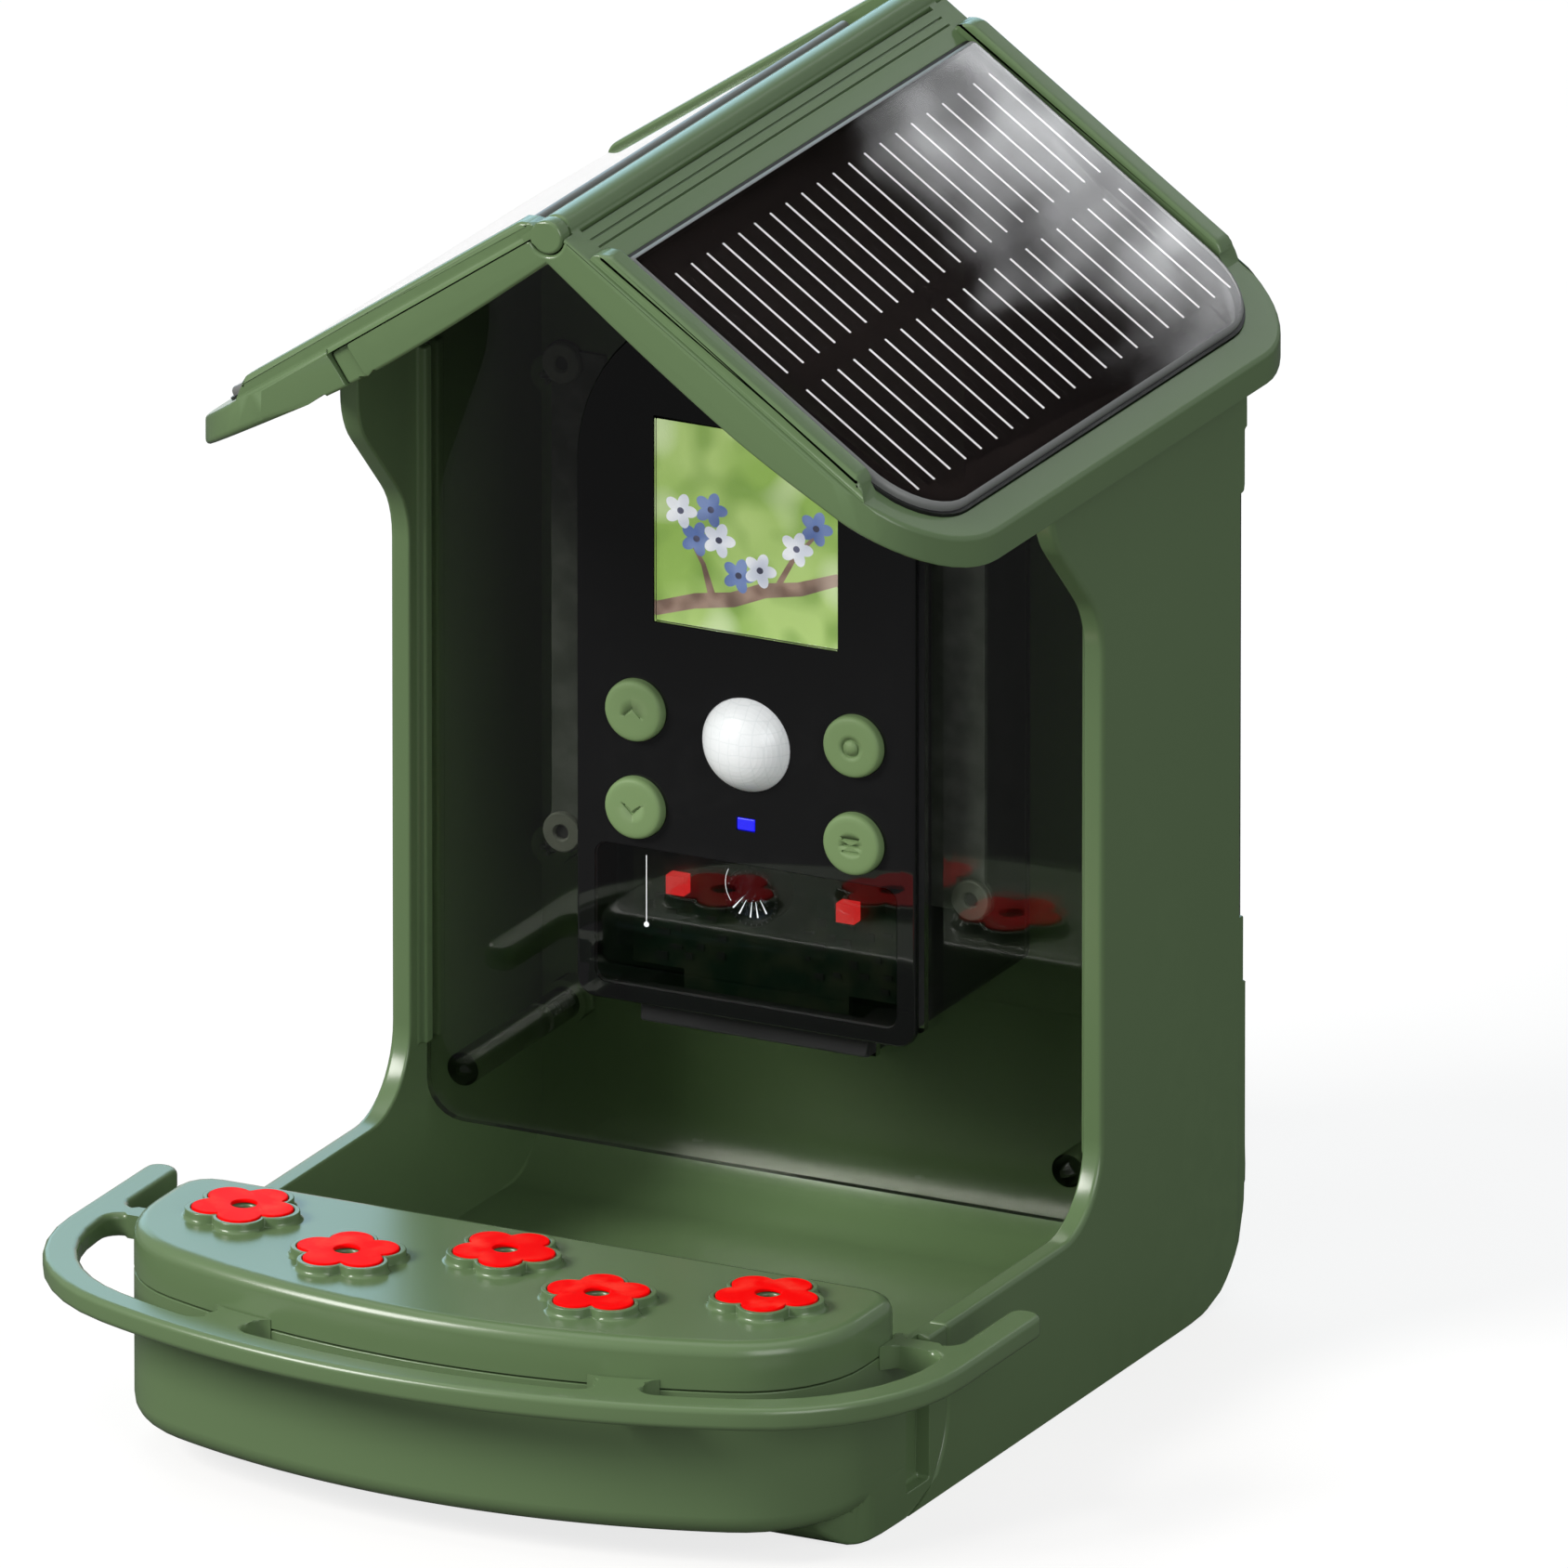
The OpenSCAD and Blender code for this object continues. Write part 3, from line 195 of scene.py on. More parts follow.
def blurred_scene():
    """Soft patches of four colours, like a garden far out of focus."""
    inputs = {"Leaf": (0.3, 0.45, 0.1, 1), "Light Leaf": (0.6, 0.7, 0.25, 1), "Shade": (0.1, 0.2, 0.06, 1),
              "Sky": (0.75, 0.85, 0.7, 1), "Patch Scale": 60.0}
    tree, start, end = shader_group("blurred_scene", inputs, ("Colour",))
    broad = span(tree, object_noise(tree, start.outputs["Patch Scale"], 0.5), 0.35, 0.65, 0.0, 1.0)
    fine = span(tree, object_noise(tree, 150.0, 0.0), 0.45, 0.75, 0.0, 0.7)
    bright = span(tree, object_noise(tree, 75.0, 0.0), 0.56, 0.74, 0.0, 0.9)
    body = colour_mix(tree, broad, start.outputs["Leaf"], start.outputs["Light Leaf"])
    body = colour_mix(tree, fine, body, start.outputs["Shade"])
    feed(tree, colour_mix(tree, bright, body, start.outputs["Sky"]), end.inputs["Colour"])
    return tree


MOULDED = moulded_surface()
BRUSHED = brushed_surface()
FACETS = facet_relief()
BLURRED = blurred_scene()


def shader_mix(tree, factor, low, high):
    """A mix of two shader nodes."""
    return add_node(tree, "ShaderNodeMixShader", {0: factor, 1: low.outputs[0], 2: high.outputs[0]})


def seen_straight(tree):
    """A light path node, and a mask of what the camera sees directly or through clear pieces."""
    path = add_node(tree, "ShaderNodeLightPath")
    unmirrored = maths(tree, "LESS_THAN", path.outputs["Glossy Depth"], 0.5)
    through = maths(tree, "MULTIPLY", path.outputs["Is Transmission Ray"], unmirrored)
    return path, maths(tree, "MAXIMUM", path.outputs["Is Camera Ray"], through)


def principled(name):
    """A new Principled material, its node tree and its Principled node."""
    made = bpy.data.materials.new(name)
    made.use_nodes = True
    return made, made.node_tree, made.node_tree.nodes["Principled BSDF"]


def end_material(tree, shader):
    """Puts a shader's output on the surface of a material."""
    feed(tree, shader.outputs[0], tree.nodes["Material Output"].inputs["Surface"])


def bump(tree, body, height, relief, relief_size):
    """Bump of a given strength and distance on a Principled node."""
    made = add_node(tree, "ShaderNodeBump", {"Height": height, "Strength": relief, "Distance": relief_size})
    feed(tree, made.outputs[0], body.inputs["Normal"])


def surface_material(name, group, values, relief=0.1, relief_size=0.0001, **shader):
    """A Principled material fed by a surface group, with the group's height as bump."""
    made, tree, body = principled(name)
    for key, value in shader.items():
        body.inputs[key.replace("_", " ")].default_value = value
    source = add_node(tree, "ShaderNodeGroup", node_tree=group)
    source.name = "surface"
    for key, value in values.items():
        source.inputs[key].default_value = value
    feed(tree, source.outputs["Colour"], body.inputs["Base Color"])
    feed(tree, source.outputs["Roughness"], body.inputs["Roughness"])
    if relief:
        bump(tree, body, source.outputs["Height"], relief, relief_size)
    return made


def plastic(name, colour, cloud, rubbed, rub=0.3, rough=(0.3, 0.38), grain=2500.0, relief=0.03, **shader):
    """Moulded plastic in one colour."""
    values = {"Colour": (*colour, 1), "Cloud Colour": (*cloud, 1), "Rubbed Colour": (*rubbed, 1), "Rub": rub,
              "Grain Scale": grain, "Roughness Low": rough[0], "Roughness High": rough[1]}
    return surface_material(name, MOULDED, values, relief, **shader)


def metal(name, colour, dull, rough=(0.22, 0.42), relief=0.15):
    """Turned or drawn metal."""
    values = {"Colour": (*colour, 1), "Dull Colour": (*dull, 1), "Roughness Low": rough[0],
              "Roughness High": rough[1]}
    return surface_material(name, BRUSHED, values, relief, Metallic=1.0)


def clear(name, tint, lamp_tint, ior=1.49, rough=(0.015, 0.03), cloud=None):
    """Clear plastic or glass. Lamps shine through it straight, so what lies behind is lit."""
    values = {"Colour": (*tint, 1), "Cloud Colour": (*(cloud or tint), 1), "Rubbed Colour": (*tint, 1),
              "Rub": 0.0, "Roughness Low": rough[0], "Roughness High": rough[1]}
    made = surface_material(name, MOULDED, values, 0.0, IOR=ior)
    tree = made.node_tree
    body = tree.nodes["Principled BSDF"]
    body.inputs["Transmission Weight"].default_value = 1.0
    way = add_node(tree, "ShaderNodeLightPath").outputs["Is Shadow Ray"]
    through = add_node(tree, "ShaderNodeBsdfTransparent", {"Color": (*lamp_tint, 1)})
    end_material(tree, shader_mix(tree, way, body, through))
    return made


def lit(name, colour, strength, base=(0.02, 0.02, 0.02)):
    """A lamp behind a diffuser, brightest where the noise is. It also makes the white glow of painted
    highlights and glints that are no lamp.
    """
    values = {"Colour": (*base, 1), "Cloud Colour": (*base, 1), "Rub": 0.0, "Roughness Low": 0.25,
              "Roughness High": 0.35}
    made = surface_material(name, MOULDED, values)
    tree = made.node_tree
    body = tree.nodes["Principled BSDF"]
    glow = colour_mix(tree, object_noise(tree, 900.0), (*[c * 0.85 for c in colour], 1), (*colour, 1))
    feed(tree, glow, body.inputs["Emission Color"])
    body.inputs["Emission Strength"].default_value = strength
    return made


def picture_material(name, colours, patch_scale=60.0, glow=0.86):
    """A part of the display's picture: mostly its own light, a little of the room's."""
    made, tree, body = principled(name)
    values = {key: (*colour, 1) for key, colour in zip(("Leaf", "Light Leaf", "Shade", "Sky"), colours)}
    source = add_node(tree, "ShaderNodeGroup", node_tree=BLURRED)
    for key, value in {**values, "Patch Scale": patch_scale}.items():
        source.inputs[key].default_value = value
    dim = colour_mix(tree, 0.75, source.outputs["Colour"], (0, 0, 0, 1))
    feed(tree, dim, body.inputs["Base Color"])
    feed(tree, source.outputs["Colour"], body.inputs["Emission Color"])
    rough = span(tree, object_noise(tree, 400.0), 0.3, 0.7, 0.4, 0.5)
    feed(tree, rough, body.inputs["Roughness"])
    body.inputs["Emission Strength"].default_value = glow
    return made


GREEN = plastic("green_plastic", (0.108, 0.169, 0.077), (0.106, 0.166, 0.075), (0.17, 0.25, 0.12), 0.08,
                (0.238, 0.248), 2500.0, 0.02)
BUTTON = plastic("button_plastic", (0.172, 0.262, 0.112), (0.164, 0.25, 0.106), (0.25, 0.33, 0.18), 0.3,
                 (0.5, 0.6), 2500.0, 0.03, Specular_IOR_Level=0.25)
RED = plastic("petal_plastic", (0.93, 0.001, 0.0015), (0.88, 0.0008, 0.001), (0.95, 0.1, 0.06), 0.4,
              (0.5, 0.6), 2500.0, 0.03, Specular_IOR_Level=0.04)
BLACK = plastic("black_plastic", (0.012, 0.012, 0.013), (0.016, 0.016, 0.017), (0.06, 0.06, 0.06), 0.4,
                (0.42, 0.56), 3000.0, 0.1)
BEZEL = plastic("bezel_gloss", (0.0065, 0.0065, 0.0068), (0.0055, 0.0055, 0.006), (0.03, 0.03, 0.03), 0.2,
                (0.015, 0.03), 900.0, 0.0)
RUBBER = plastic("soft_rubber", (0.011, 0.011, 0.012), (0.018, 0.018, 0.018), (0.05, 0.05, 0.05), 0.3,
                 (0.7, 0.85), 3000.0, 0.3)
SEAL = plastic("seal_rubber", (0.008, 0.008, 0.008), (0.013, 0.013, 0.013), (0.05, 0.05, 0.05), 0.3,
               (0.3, 0.45), 3000.0, 0.1)
WHITE = plastic("motion_lens_plastic", (0.95, 0.98, 1.0), (0.92, 0.96, 0.98), (1.0, 1.0, 1.0), 0.1,
                (0.25, 0.35), 2600.0, 0.0)
CELLS = plastic("solar_cell_sheet", (0.019, 0.0135, 0.0125), (0.014, 0.0105, 0.01), (0.02, 0.01, 0.01), 0.0,
                (0.5, 0.6), 1600.0, 0.02, Specular_IOR_Level=0.06)
LINES = plastic("cell_contact_lines", (0.95, 0.95, 0.97), (0.88, 0.88, 0.9), (0.9, 0.9, 0.9), 0.1,
                (0.35, 0.5), 3000.0, 0.02)
BOARD = plastic("circuit_board", (0.006, 0.032, 0.014), (0.004, 0.02, 0.009), (0.2, 0.2, 0.1), 0.3,
                (0.3, 0.45), 1400.0, 0.2)
CHIP = plastic("chip_resin", (0.011, 0.011, 0.012), (0.02, 0.02, 0.02), (0.1, 0.1, 0.1), 0.3, (0.45, 0.6),
               3000.0, 0.1)
SLEEVE = plastic("battery_sleeve", (0.02, 0.08, 0.25), (0.018, 0.07, 0.22), (0.2, 0.3, 0.4), 0.3,
                 (0.25, 0.35), 3000.0, 0.05)
STEEL = metal("zinc_steel", (0.62, 0.63, 0.66), (0.42, 0.43, 0.45))
BRASS = metal("insert_brass", (0.72, 0.52, 0.22), (0.5, 0.34, 0.14))
SMOKE = clear("smoked_window", (0.47, 0.47, 0.45), (0.86, 0.88, 0.86), cloud=(0.45, 0.45, 0.43))
DARK_SMOKE = clear("dark_window", (0.12, 0.125, 0.125), (0.95, 0.95, 0.95), cloud=(0.11, 0.115, 0.115))
CLEAR = clear("screen_clear", (0.95, 0.97, 0.96), (0.95, 0.97, 0.96), cloud=(0.93, 0.95, 0.94))
PANEL = clear("panel_clear", (0.86, 0.84, 0.83), (0.9, 0.9, 0.9), 1.52, (0.01, 0.02), (0.83, 0.81, 0.8))
LENS = clear("lens_coated", (0.55, 0.6, 0.75), (0.6, 0.65, 0.8), 1.6, cloud=(0.5, 0.55, 0.75))
FROST = plastic("frosted_clear", (0.038, 0.046, 0.035), (0.028, 0.035, 0.027), (0.2, 0.22, 0.2), 0.2,
                (0.4, 0.6), 1500.0, 0.4)
BOSS = plastic("boss_clear", (0.095, 0.105, 0.082), (0.078, 0.088, 0.068), (0.2, 0.22, 0.2), 0.2,
               (0.4, 0.6), 1500.0, 0.4)
# Ground glass edge; its lighter grey is also a painted highlight along the panels' chamfers.
GROUND_EDGE_HIGHLIGHT = plastic("ground_glass_edge_highlight", (0.2, 0.205, 0.2), (0.16, 0.165, 0.16), (0.4, 0.4, 0.4), 0.2,
                      (0.3, 0.45), 3000.0, 0.1)
# Painted highlights and glints: white glow on strips that are no lamp.
GLINT_GLOW = lit("painted_highlight_glow", (1.0, 1.0, 1.0), 9.0, (0.6, 0.6, 0.6))
BLUE_LAMP = lit("blue_lamp", (0.005, 0.005, 1.0), 1.0)
RED_LAMP = lit("red_lamp", (1.0, 0.03, 0.03), 4.6)
GARDEN = picture_material("picture_garden", ((0.27, 0.43, 0.085), (0.4, 0.55, 0.17), (0.17, 0.3, 0.05),
                                             (0.56, 0.68, 0.36)))
BRANCH = picture_material("picture_branch", ((0.2, 0.12, 0.09), (0.33, 0.22, 0.17), (0.1, 0.06, 0.045),
                                             (0.45, 0.34, 0.28)), 300.0)
BLUE_PETAL = picture_material("picture_blue", ((0.1, 0.16, 0.38), (0.2, 0.27, 0.5), (0.06, 0.09, 0.24),
                                               (0.4, 0.47, 0.65)), 250.0)
PALE_PETAL = picture_material("picture_pale", ((0.62, 0.64, 0.72), (0.8, 0.8, 0.84), (0.4, 0.42, 0.52),
                                               (0.9, 0.9, 0.92)), 250.0)
BUD = picture_material("picture_bud", ((0.05, 0.05, 0.09), (0.12, 0.12, 0.2), (0.02, 0.02, 0.04),
                                       (0.2, 0.2, 0.3)), 300.0)

# The motion lens shows its facets
facet_tree = WHITE.node_tree
facet_node = add_node(facet_tree, "ShaderNodeGroup", node_tree=FACETS)
facet_body = facet_tree.nodes["Principled BSDF"]
facet_colour = colour_mix(facet_tree, facet_node.outputs["Mask"], (0.86, 0.9, 0.92, 1),
                          facet_tree.nodes["surface"].outputs["Colour"])
feed(facet_tree, facet_colour, facet_body.inputs["Base Color"])
bump(facet_tree, facet_body, facet_node.outputs["Height"], 0.1, 0.0002)

FINISH = {
    "green_plastic": GREEN, "red_plastic": RED, "black_plastic": BLACK, "bezel_black": BEZEL,
    "clear_smoke": SMOKE, "cover_glass": CLEAR, "display": BLACK, "button_green": BUTTON,
    "panel_glass": PANEL, "solar_cells": CELLS, "seal_rubber": SEAL, "soft_rubber": RUBBER,
    "motion_white": WHITE, "steel": STEEL, "brass": BRASS, "circuit_board": BOARD,
    "blue_lamp": BLUE_LAMP, "red_lamp": RED_LAMP, "lens_black": BLACK, "lens_glass": LENS,
    "battery_wrap": SLEEVE,
}
SLOT_OF = {row["node"]: row["material_slot"] for row in frame["record"]["subparts"]}
BODY_OF = {name: body for body, names in frame["record"]["behaviour"]["bodies"].items() for name in names}
ROOT_BODY = BODY_OF["housing"]
LID_BODY = BODY_OF["filler_lid"]
OWN_FINISH = {"lens_window": DARK_SMOKE}


def finish_of(node):
    """The material of a CAD node."""
    return OWN_FINISH.get(node, FINISH[SLOT_OF[node]])


for name, solid in frame["nodes"].items():
    solid.data.materials.clear()
    solid.data.materials.append(finish_of(name))


# Meshes

def settled(obj):
    """The object's evaluated mesh in place of its own, with its modifiers removed."""
    bpy.context.view_layer.update()
    graph = bpy.context.evaluated_depsgraph_get()
    mesh = bpy.data.meshes.new_from_object(obj.evaluated_get(graph))
    obj.modifiers.clear()
    obj.data = mesh
    return obj


def new_piece(name, mesh, material=None):
    """A new object at the origin."""
    made = bpy.data.objects.new(name, mesh)
    bpy.context.scene.collection.objects.link(made)
    if material:
        mesh.materials.clear()
        mesh.materials.append(material)
    return made


def join_frame(piece, body, slot, *replaced):
    """Lets a piece ride on a body and hides the nodes it stands for. Its slot is not used."""
    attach(piece, body)
    if replaced:
        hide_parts(*replaced)
    return piece


def take_mesh(name, work):
    """A mesh from a bmesh, with its faces turned outwards."""
    bmesh.ops.recalc_face_normals(work, faces=work.faces)
    mesh = bpy.data.meshes.new(name)
    work.to_mesh(mesh)
    work.free()
    return mesh


def smooth(piece, angle=38.0):
    """Smooth shading that keeps edges above an angle, with flat faces left flat."""
    piece.data.shade_smooth()
    piece.data.set_sharp_from_angle(angle=math.radians(angle))
    weigh = piece.modifiers.new("weigh", "WEIGHTED_NORMAL")
    weigh.keep_sharp = True
    return settled(piece)


def slide_room(edge, wanted):
    """How wide a bevel on this edge may be before it meets the end of a neighbouring edge, in metres."""
    room = 1.0
    for loop in edge.link_loops:
        for other in (loop.link_loop_prev.edge, loop.link_loop_next.edge):
            corner = next((v for v in edge.verts if v in other.verts), None)
            if corner is None:
                continue
            far = other.other_vert(corner)
            if other in wanted:
                along = (edge.other_vert(corner).co - corner.co).angle(far.co - corner.co, 0.0)
                if along > math.radians(140):
                    continue
                room = min(room, other.calc_length() / 2.1)
            elif any(e in wanted for e in far.link_edges):
                room = min(room, other.calc_length() / 2.1)
            else:
                room = min(room, other.calc_length())
    return room


def thin_walls(wanted, reach):
    """The edges that face another one across a strip narrower than reach."""
    marks = []
    for edge in wanted:
        steps = int(edge.calc_length() / (reach * 0.4)) + 2
        for loop in edge.link_loops:
            start = loop.vert.co
            along = loop.link_loop_next.vert.co - start
            inward = loop.face.normal.cross(along).normalized()
            marks += [(start + along * k / steps, loop.face.normal, inward, edge) for k in range(steps + 1)]
    tree = KDTree(len(marks))
    for index, mark in enumerate(marks):
        tree.insert(mark[0], index)
    tree.balance()
    crowded = set()
    for place, normal, inward, edge in marks:
        if edge in crowded:
            continue
        for found, index, gap in tree.find_range(place, reach):
            other = marks[index]
            if gap < 1e-6 or other[3] is edge or normal.dot(other[1]) < 0.98 or inward.dot(other[2]) > -0.2:
                continue
            if (found - place).dot(inward) > 0.3 * gap:
                crowded.add(edge)
                break
    return crowded


def round_edges(work, width, segments, corner, zone=None):
    """Bevels the edges that turn more than an angle and have room for it. Width is in millimetres."""
    wanted = set()
    for edge in work.edges:
        if len(edge.link_faces) != 2 or edge.calc_face_angle(0.0) < math.radians(corner):
            continue
        if zone and not zone((edge.verts[0].co + edge.verts[1].co) / 2 / MM):
            continue
        wanted.add(edge)
    work.normal_update()
    wanted -= thin_walls(wanted, 2.1 * width * MM)
    for turn in range(3):
        wanted = {edge for edge in wanted if slide_room(edge, wanted) > width * MM}
    if wanted:
        bmesh.ops.bevel(work, geom=list(wanted), offset=width * MM, offset_type="OFFSET", segments=segments,
                        profile=0.5, affect="EDGES", clamp_overlap=False, loop_slide=False)


def rounded(node, name, passes, corner=32.0, material=None):
    """A CAD node with rounded edges. Each pass is a width in millimetres, its segments and perhaps a zone."""
    work = bmesh.new()
    work.from_mesh(frame["nodes"][node].data)
    bmesh.ops.remove_doubles(work, verts=work.verts, dist=2e-6)
    bmesh.ops.dissolve_limit(work, angle_limit=math.radians(0.4), verts=work.verts, edges=work.edges)
    low = [min(v.co[i] for v in work.verts) for i in range(3)]
    high = [max(v.co[i] for v in work.verts) for i in range(3)]
    for entry in passes:
        round_edges(work, entry[0], entry[1], corner, entry[2] if len(entry) > 2 else None)
    for vert in work.verts:
        vert.co = [min(max(vert.co[i], low[i]), high[i]) for i in range(3)]
    mesh = bpy.data.meshes.new(name)
    work.to_mesh(mesh)
    work.free()
    piece = smooth(new_piece(name, mesh, material or finish_of(node)))
    return join_frame(piece, BODY_OF[node], SLOT_OF[node], node)


def turned(name, profile, place, material, segments=48):
    """A piece turned about an axis, from radius and height in millimetres. Place puts it in the shell."""
    work = bmesh.new()
    rings = []
    for radius, height in profile:
        if radius < 1e-6:
            rings.append([work.verts.new((0, 0, height))])
        else:
            rings.append([work.verts.new((radius * math.cos(2 * math.pi * i / segments),
                                          radius * math.sin(2 * math.pi * i / segments), height))
                          for i in range(segments)])
    closed = len(rings[0]) > 1
    pairs = list(zip(rings, rings[1:])) + ([(rings[-1], rings[0])] if closed else [])
    for low, high in pairs:
        for i in range(segments):
            k = (i + 1) % segments
            corners = [low[i % len(low)], low[k % len(low)], high[k % len(high)], high[i % len(high)]]
            corners = list(dict.fromkeys(corners))
            if len(corners) > 2:
                work.faces.new(corners)
    bmesh.ops.transform(work, matrix=place, verts=work.verts)
    return smooth(new_piece(name, take_mesh(name, work), material))


def facing_front(x, y, z):
    """Turns a piece's own +Z to the feeder's front, at a place of the shell."""
    return SHELL_FRAME @ Matrix.Translation((x, y, z)) @ Matrix.Rotation(math.pi / 2, 4, "X")


def slab(name, outlines, low, high, place, material):
    """Closed slabs between two heights, from outlines in a plane."""
    work = bmesh.new()
    for outline in outlines:
        face = work.faces.new([work.verts.new((x, y, low)) for x, y in outline])
        raised = bmesh.ops.extrude_face_region(work, geom=[face])
        lifted = [item for item in raised["geom"] if isinstance(item, bmesh.types.BMVert)]
        bmesh.ops.translate(work, vec=(0, 0, high - low), verts=lifted)
    bmesh.ops.transform(work, matrix=place, verts=work.verts)
    return new_piece(name, take_mesh(name, work), material)


def box_outline(x0, x1, y0, y1):
    return [(x0, y0), (x1, y0), (x1, y1), (x0, y1)]


def stroke(start, end, width):
    """Outline of a straight stroke between two points."""
    along = (Vector(end) - Vector(start)).normalized()
    across = Vector((-along.y, along.x)) * width / 2
    start = Vector(start) - along * width / 2
    end = Vector(end) + along * width / 2
    return [tuple(p) for p in (start + across, start - across, end - across, end + across)]


def ellipse(x, y, rx, ry, turn=0.0, points=20):
    """Outline of a turned ellipse."""
    made = []
    for i in range(points):
        a = 2 * math.pi * i / points
        u, v = rx * math.cos(a), ry * math.sin(a)
        made.append((x + u * math.cos(turn) - v * math.sin(turn),
                     y + u * math.sin(turn) + v * math.cos(turn)))
    return made


# Shells with rounded edges

COVER_Z = 38.0


def wall_front(mid):
    return abs(mid.x) > 79 and mid.y < 62


def bezel_rim(mid):
    """The bezel's outer edge, not the edges of its openings."""
    return abs(mid.x) > 35 or mid.z > 180 or mid.z < 66.5


def off_back(mid):
    """All but the inside of the back wall."""
    return mid.y < 90 or mid.y > 101


def below_seam(mid):
    return mid.z < COVER_Z - 2


def above_seam(mid):
    return mid.z > COVER_Z + 1


def roof_height(mid):
    """Height over the roof plane."""
    return abs(mid.x) * math.sin(ROOF_PITCH) + (mid.z - ROOF_APEX) * math.cos(ROOF_PITCH)


def on_top(mid):
    return roof_height(mid) > 0.5


def under_eave(mid):
    """The lower edges of the lid's eave end."""
    return mid.x < -60 and roof_height(mid) < -4.4


SHELLS = {
    "housing": ("housing_shell", [(1.2, 4, wall_front), (0.6, 3, off_back), (0.25, 2, off_back)]),
    "front_tray": ("tray_shell", [(0.8, 3, below_seam), (0.25, 2)]),
    "tray_cover": ("cover_shell", [(0.9, 4, above_seam), (0.25, 2)]),
    "perch_ring": ("perch_bar", [(1.4, 4), (0.5, 2)]),
    "roof_frame": ("roof_shell", [(0.8, 3), (0.3, 2)]),
    "filler_lid": ("lid_shell", [(1.6, 4, under_eave), (0.7, 3), (0.3, 2)]),
    "front_bezel": ("bezel_plate", [(0.5, 3, bezel_rim)]),
    "screen_glass": ("screen_pane", [(0.25, 2)]),
    "lens_window": ("lens_pane", []),
    "rear_plate": ("wall_plate", [(0.8, 3), (0.3, 2)]),
    "camera_case": ("case_shell", [(0.8, 3), (0.3, 2)]),
    "camera_back": ("case_lid", [(0.5, 2)]),
    "panel_glass_right": ("glass_right", [(1.1, 3, on_top)]),
    "panel_glass_left": ("glass_left", [(1.1, 3, on_top)]),
    "port_cover": ("port_flap", [(0.6, 3)]),
    "battery_holder": ("cell_tray", [(0.6, 2)]),
    "card_slot": ("card_socket", [(0.25, 2)]),
    "charge_port": ("port_shell", [(0.15, 2)]),
    "status_light": ("status_pipe", [(0.3, 2)]),
}
for number in range(1, 6):
    SHELLS[f"flower_{number}"] = (f"petals_{number}", [(0.25, 3)])
shells = {node: rounded(node, name, passes) for node, (name, passes) in SHELLS.items()}

# The lens window's edges are blackened, so that no light runs along them
pane = shells["lens_window"].data
pane.materials.append(BLACK)
for face in pane.polygons:
    if abs(face.normal.y) < 0.7:
        face.material_index = 1

# The panels' edges are ground, not polished, and their lighter grey is also a painted highlight along the
# chamfer
for node, side in (("panel_glass_right", 1), ("panel_glass_left", -1)):
    glass = shells[node].data
    glass.materials.append(GROUND_EDGE_HIGHLIGHT)
    slope_up = Vector((side * math.sin(ROOF_PITCH), 0, math.cos(ROOF_PITCH)))
    for face in glass.polygons:
        if -0.3 < face.normal.dot(slope_up) < 0.97:
            face.material_index = 1


# Buttons with an engraved mark

def button(node, x, z, strokes, ring=False):
    """A crowned push button; its mark is cut in as shallow strokes."""
    profile = [(0, 2.18), (3.0, 2.17), (4.8, 2.13), (5.6, 2.05), (6.05, 1.86), (6.32, 1.56), (6.45, 1.15),
               (6.5, 0.7), (6.5, -2.05), (7.4, -2.05), (7.4, -3.1), (0, -3.1)]
    place = facing_front(x, 0, z)
    cap = turned(node + "_cap", profile, place, BUTTON, 64)
    if ring:
        cutter = turned("mark", [(1.55, 1.85), (2.0, 1.85), (2.0, 3.0), (1.55, 3.0)], place, BUTTON, 40)
    else:
        cutter = slab("mark", [stroke(a, b, 0.42) for a, b in strokes], 1.85, 3.0, place, BUTTON)
    cut = cap.modifiers.new("mark", "BOOLEAN")
    cut.operation = "DIFFERENCE"
    cut.solver = "EXACT"
    cut.use_self = True
    cut.object = cutter
    settled(cap)
    bpy.data.objects.remove(cutter, do_unlink=True)
    join_frame(smooth(cap, 30.0), BODY_OF[node], SLOT_OF[node], node)


button("button_up", -BUTTON_X, BUTTON_HIGH_Z, [((-1.7, -0.8), (0, 0.9)), ((0, 0.9), (1.7, -0.8))])
button("button_down", -BUTTON_X, BUTTON_LOW_Z, [((-1.7, 0.8), (0, -0.9)), ((0, -0.9), (1.7, 0.8))])
button("button_ok", BUTTON_X, BUTTON_HIGH_Z, [], ring=True)
button("button_menu", BUTTON_X, BUTTON_LOW_Z, [((-1.7, h), (1.7, h)) for h in (-1.3, 0, 1.3)])


# Geometry node trees

def geometry_group(name, inputs):
    """An empty geometry node tree with named inputs, and its two end nodes."""
    tree = bpy.data.node_groups.new(name, "GeometryNodeTree")
    tree.interface.new_socket("Places", in_out="INPUT", socket_type="NodeSocketGeometry")
    add_inputs(tree, inputs)
    tree.interface.new_socket("Finish", in_out="INPUT", socket_type="NodeSocketMaterial")
    tree.interface.new_socket("Geometry", in_out="OUTPUT", socket_type="NodeSocketGeometry")
    return tree, tree.nodes.new("NodeGroupInput"), tree.nodes.new("NodeGroupOutput")


def spread(tree, points, piece, **more):
    """One copy of a piece at each point."""
    ends = {"Points": points, "Instance": piece, **more}
    return add_node(tree, "GeometryNodeInstanceOnPoints", ends).outputs[0]


def close_group(tree, start, end, geometry):
    """Ends a tree in real geometry with the given finish."""
    real = add_node(tree, "GeometryNodeRealizeInstances", {"Geometry": geometry})
    done = add_node(tree, "GeometryNodeSetMaterial", {"Geometry": real.outputs[0],
                                                      "Material": start.outputs["Finish"]})
    feed(tree, done.outputs[0], end.inputs["Geometry"])
    return tree


def vector(tree, x=0.0, y=0.0, z=0.0):
    """A vector of three values or node outputs."""
    return add_node(tree, "ShaderNodeCombineXYZ", {0: x, 1: y, 2: z}).outputs[0]


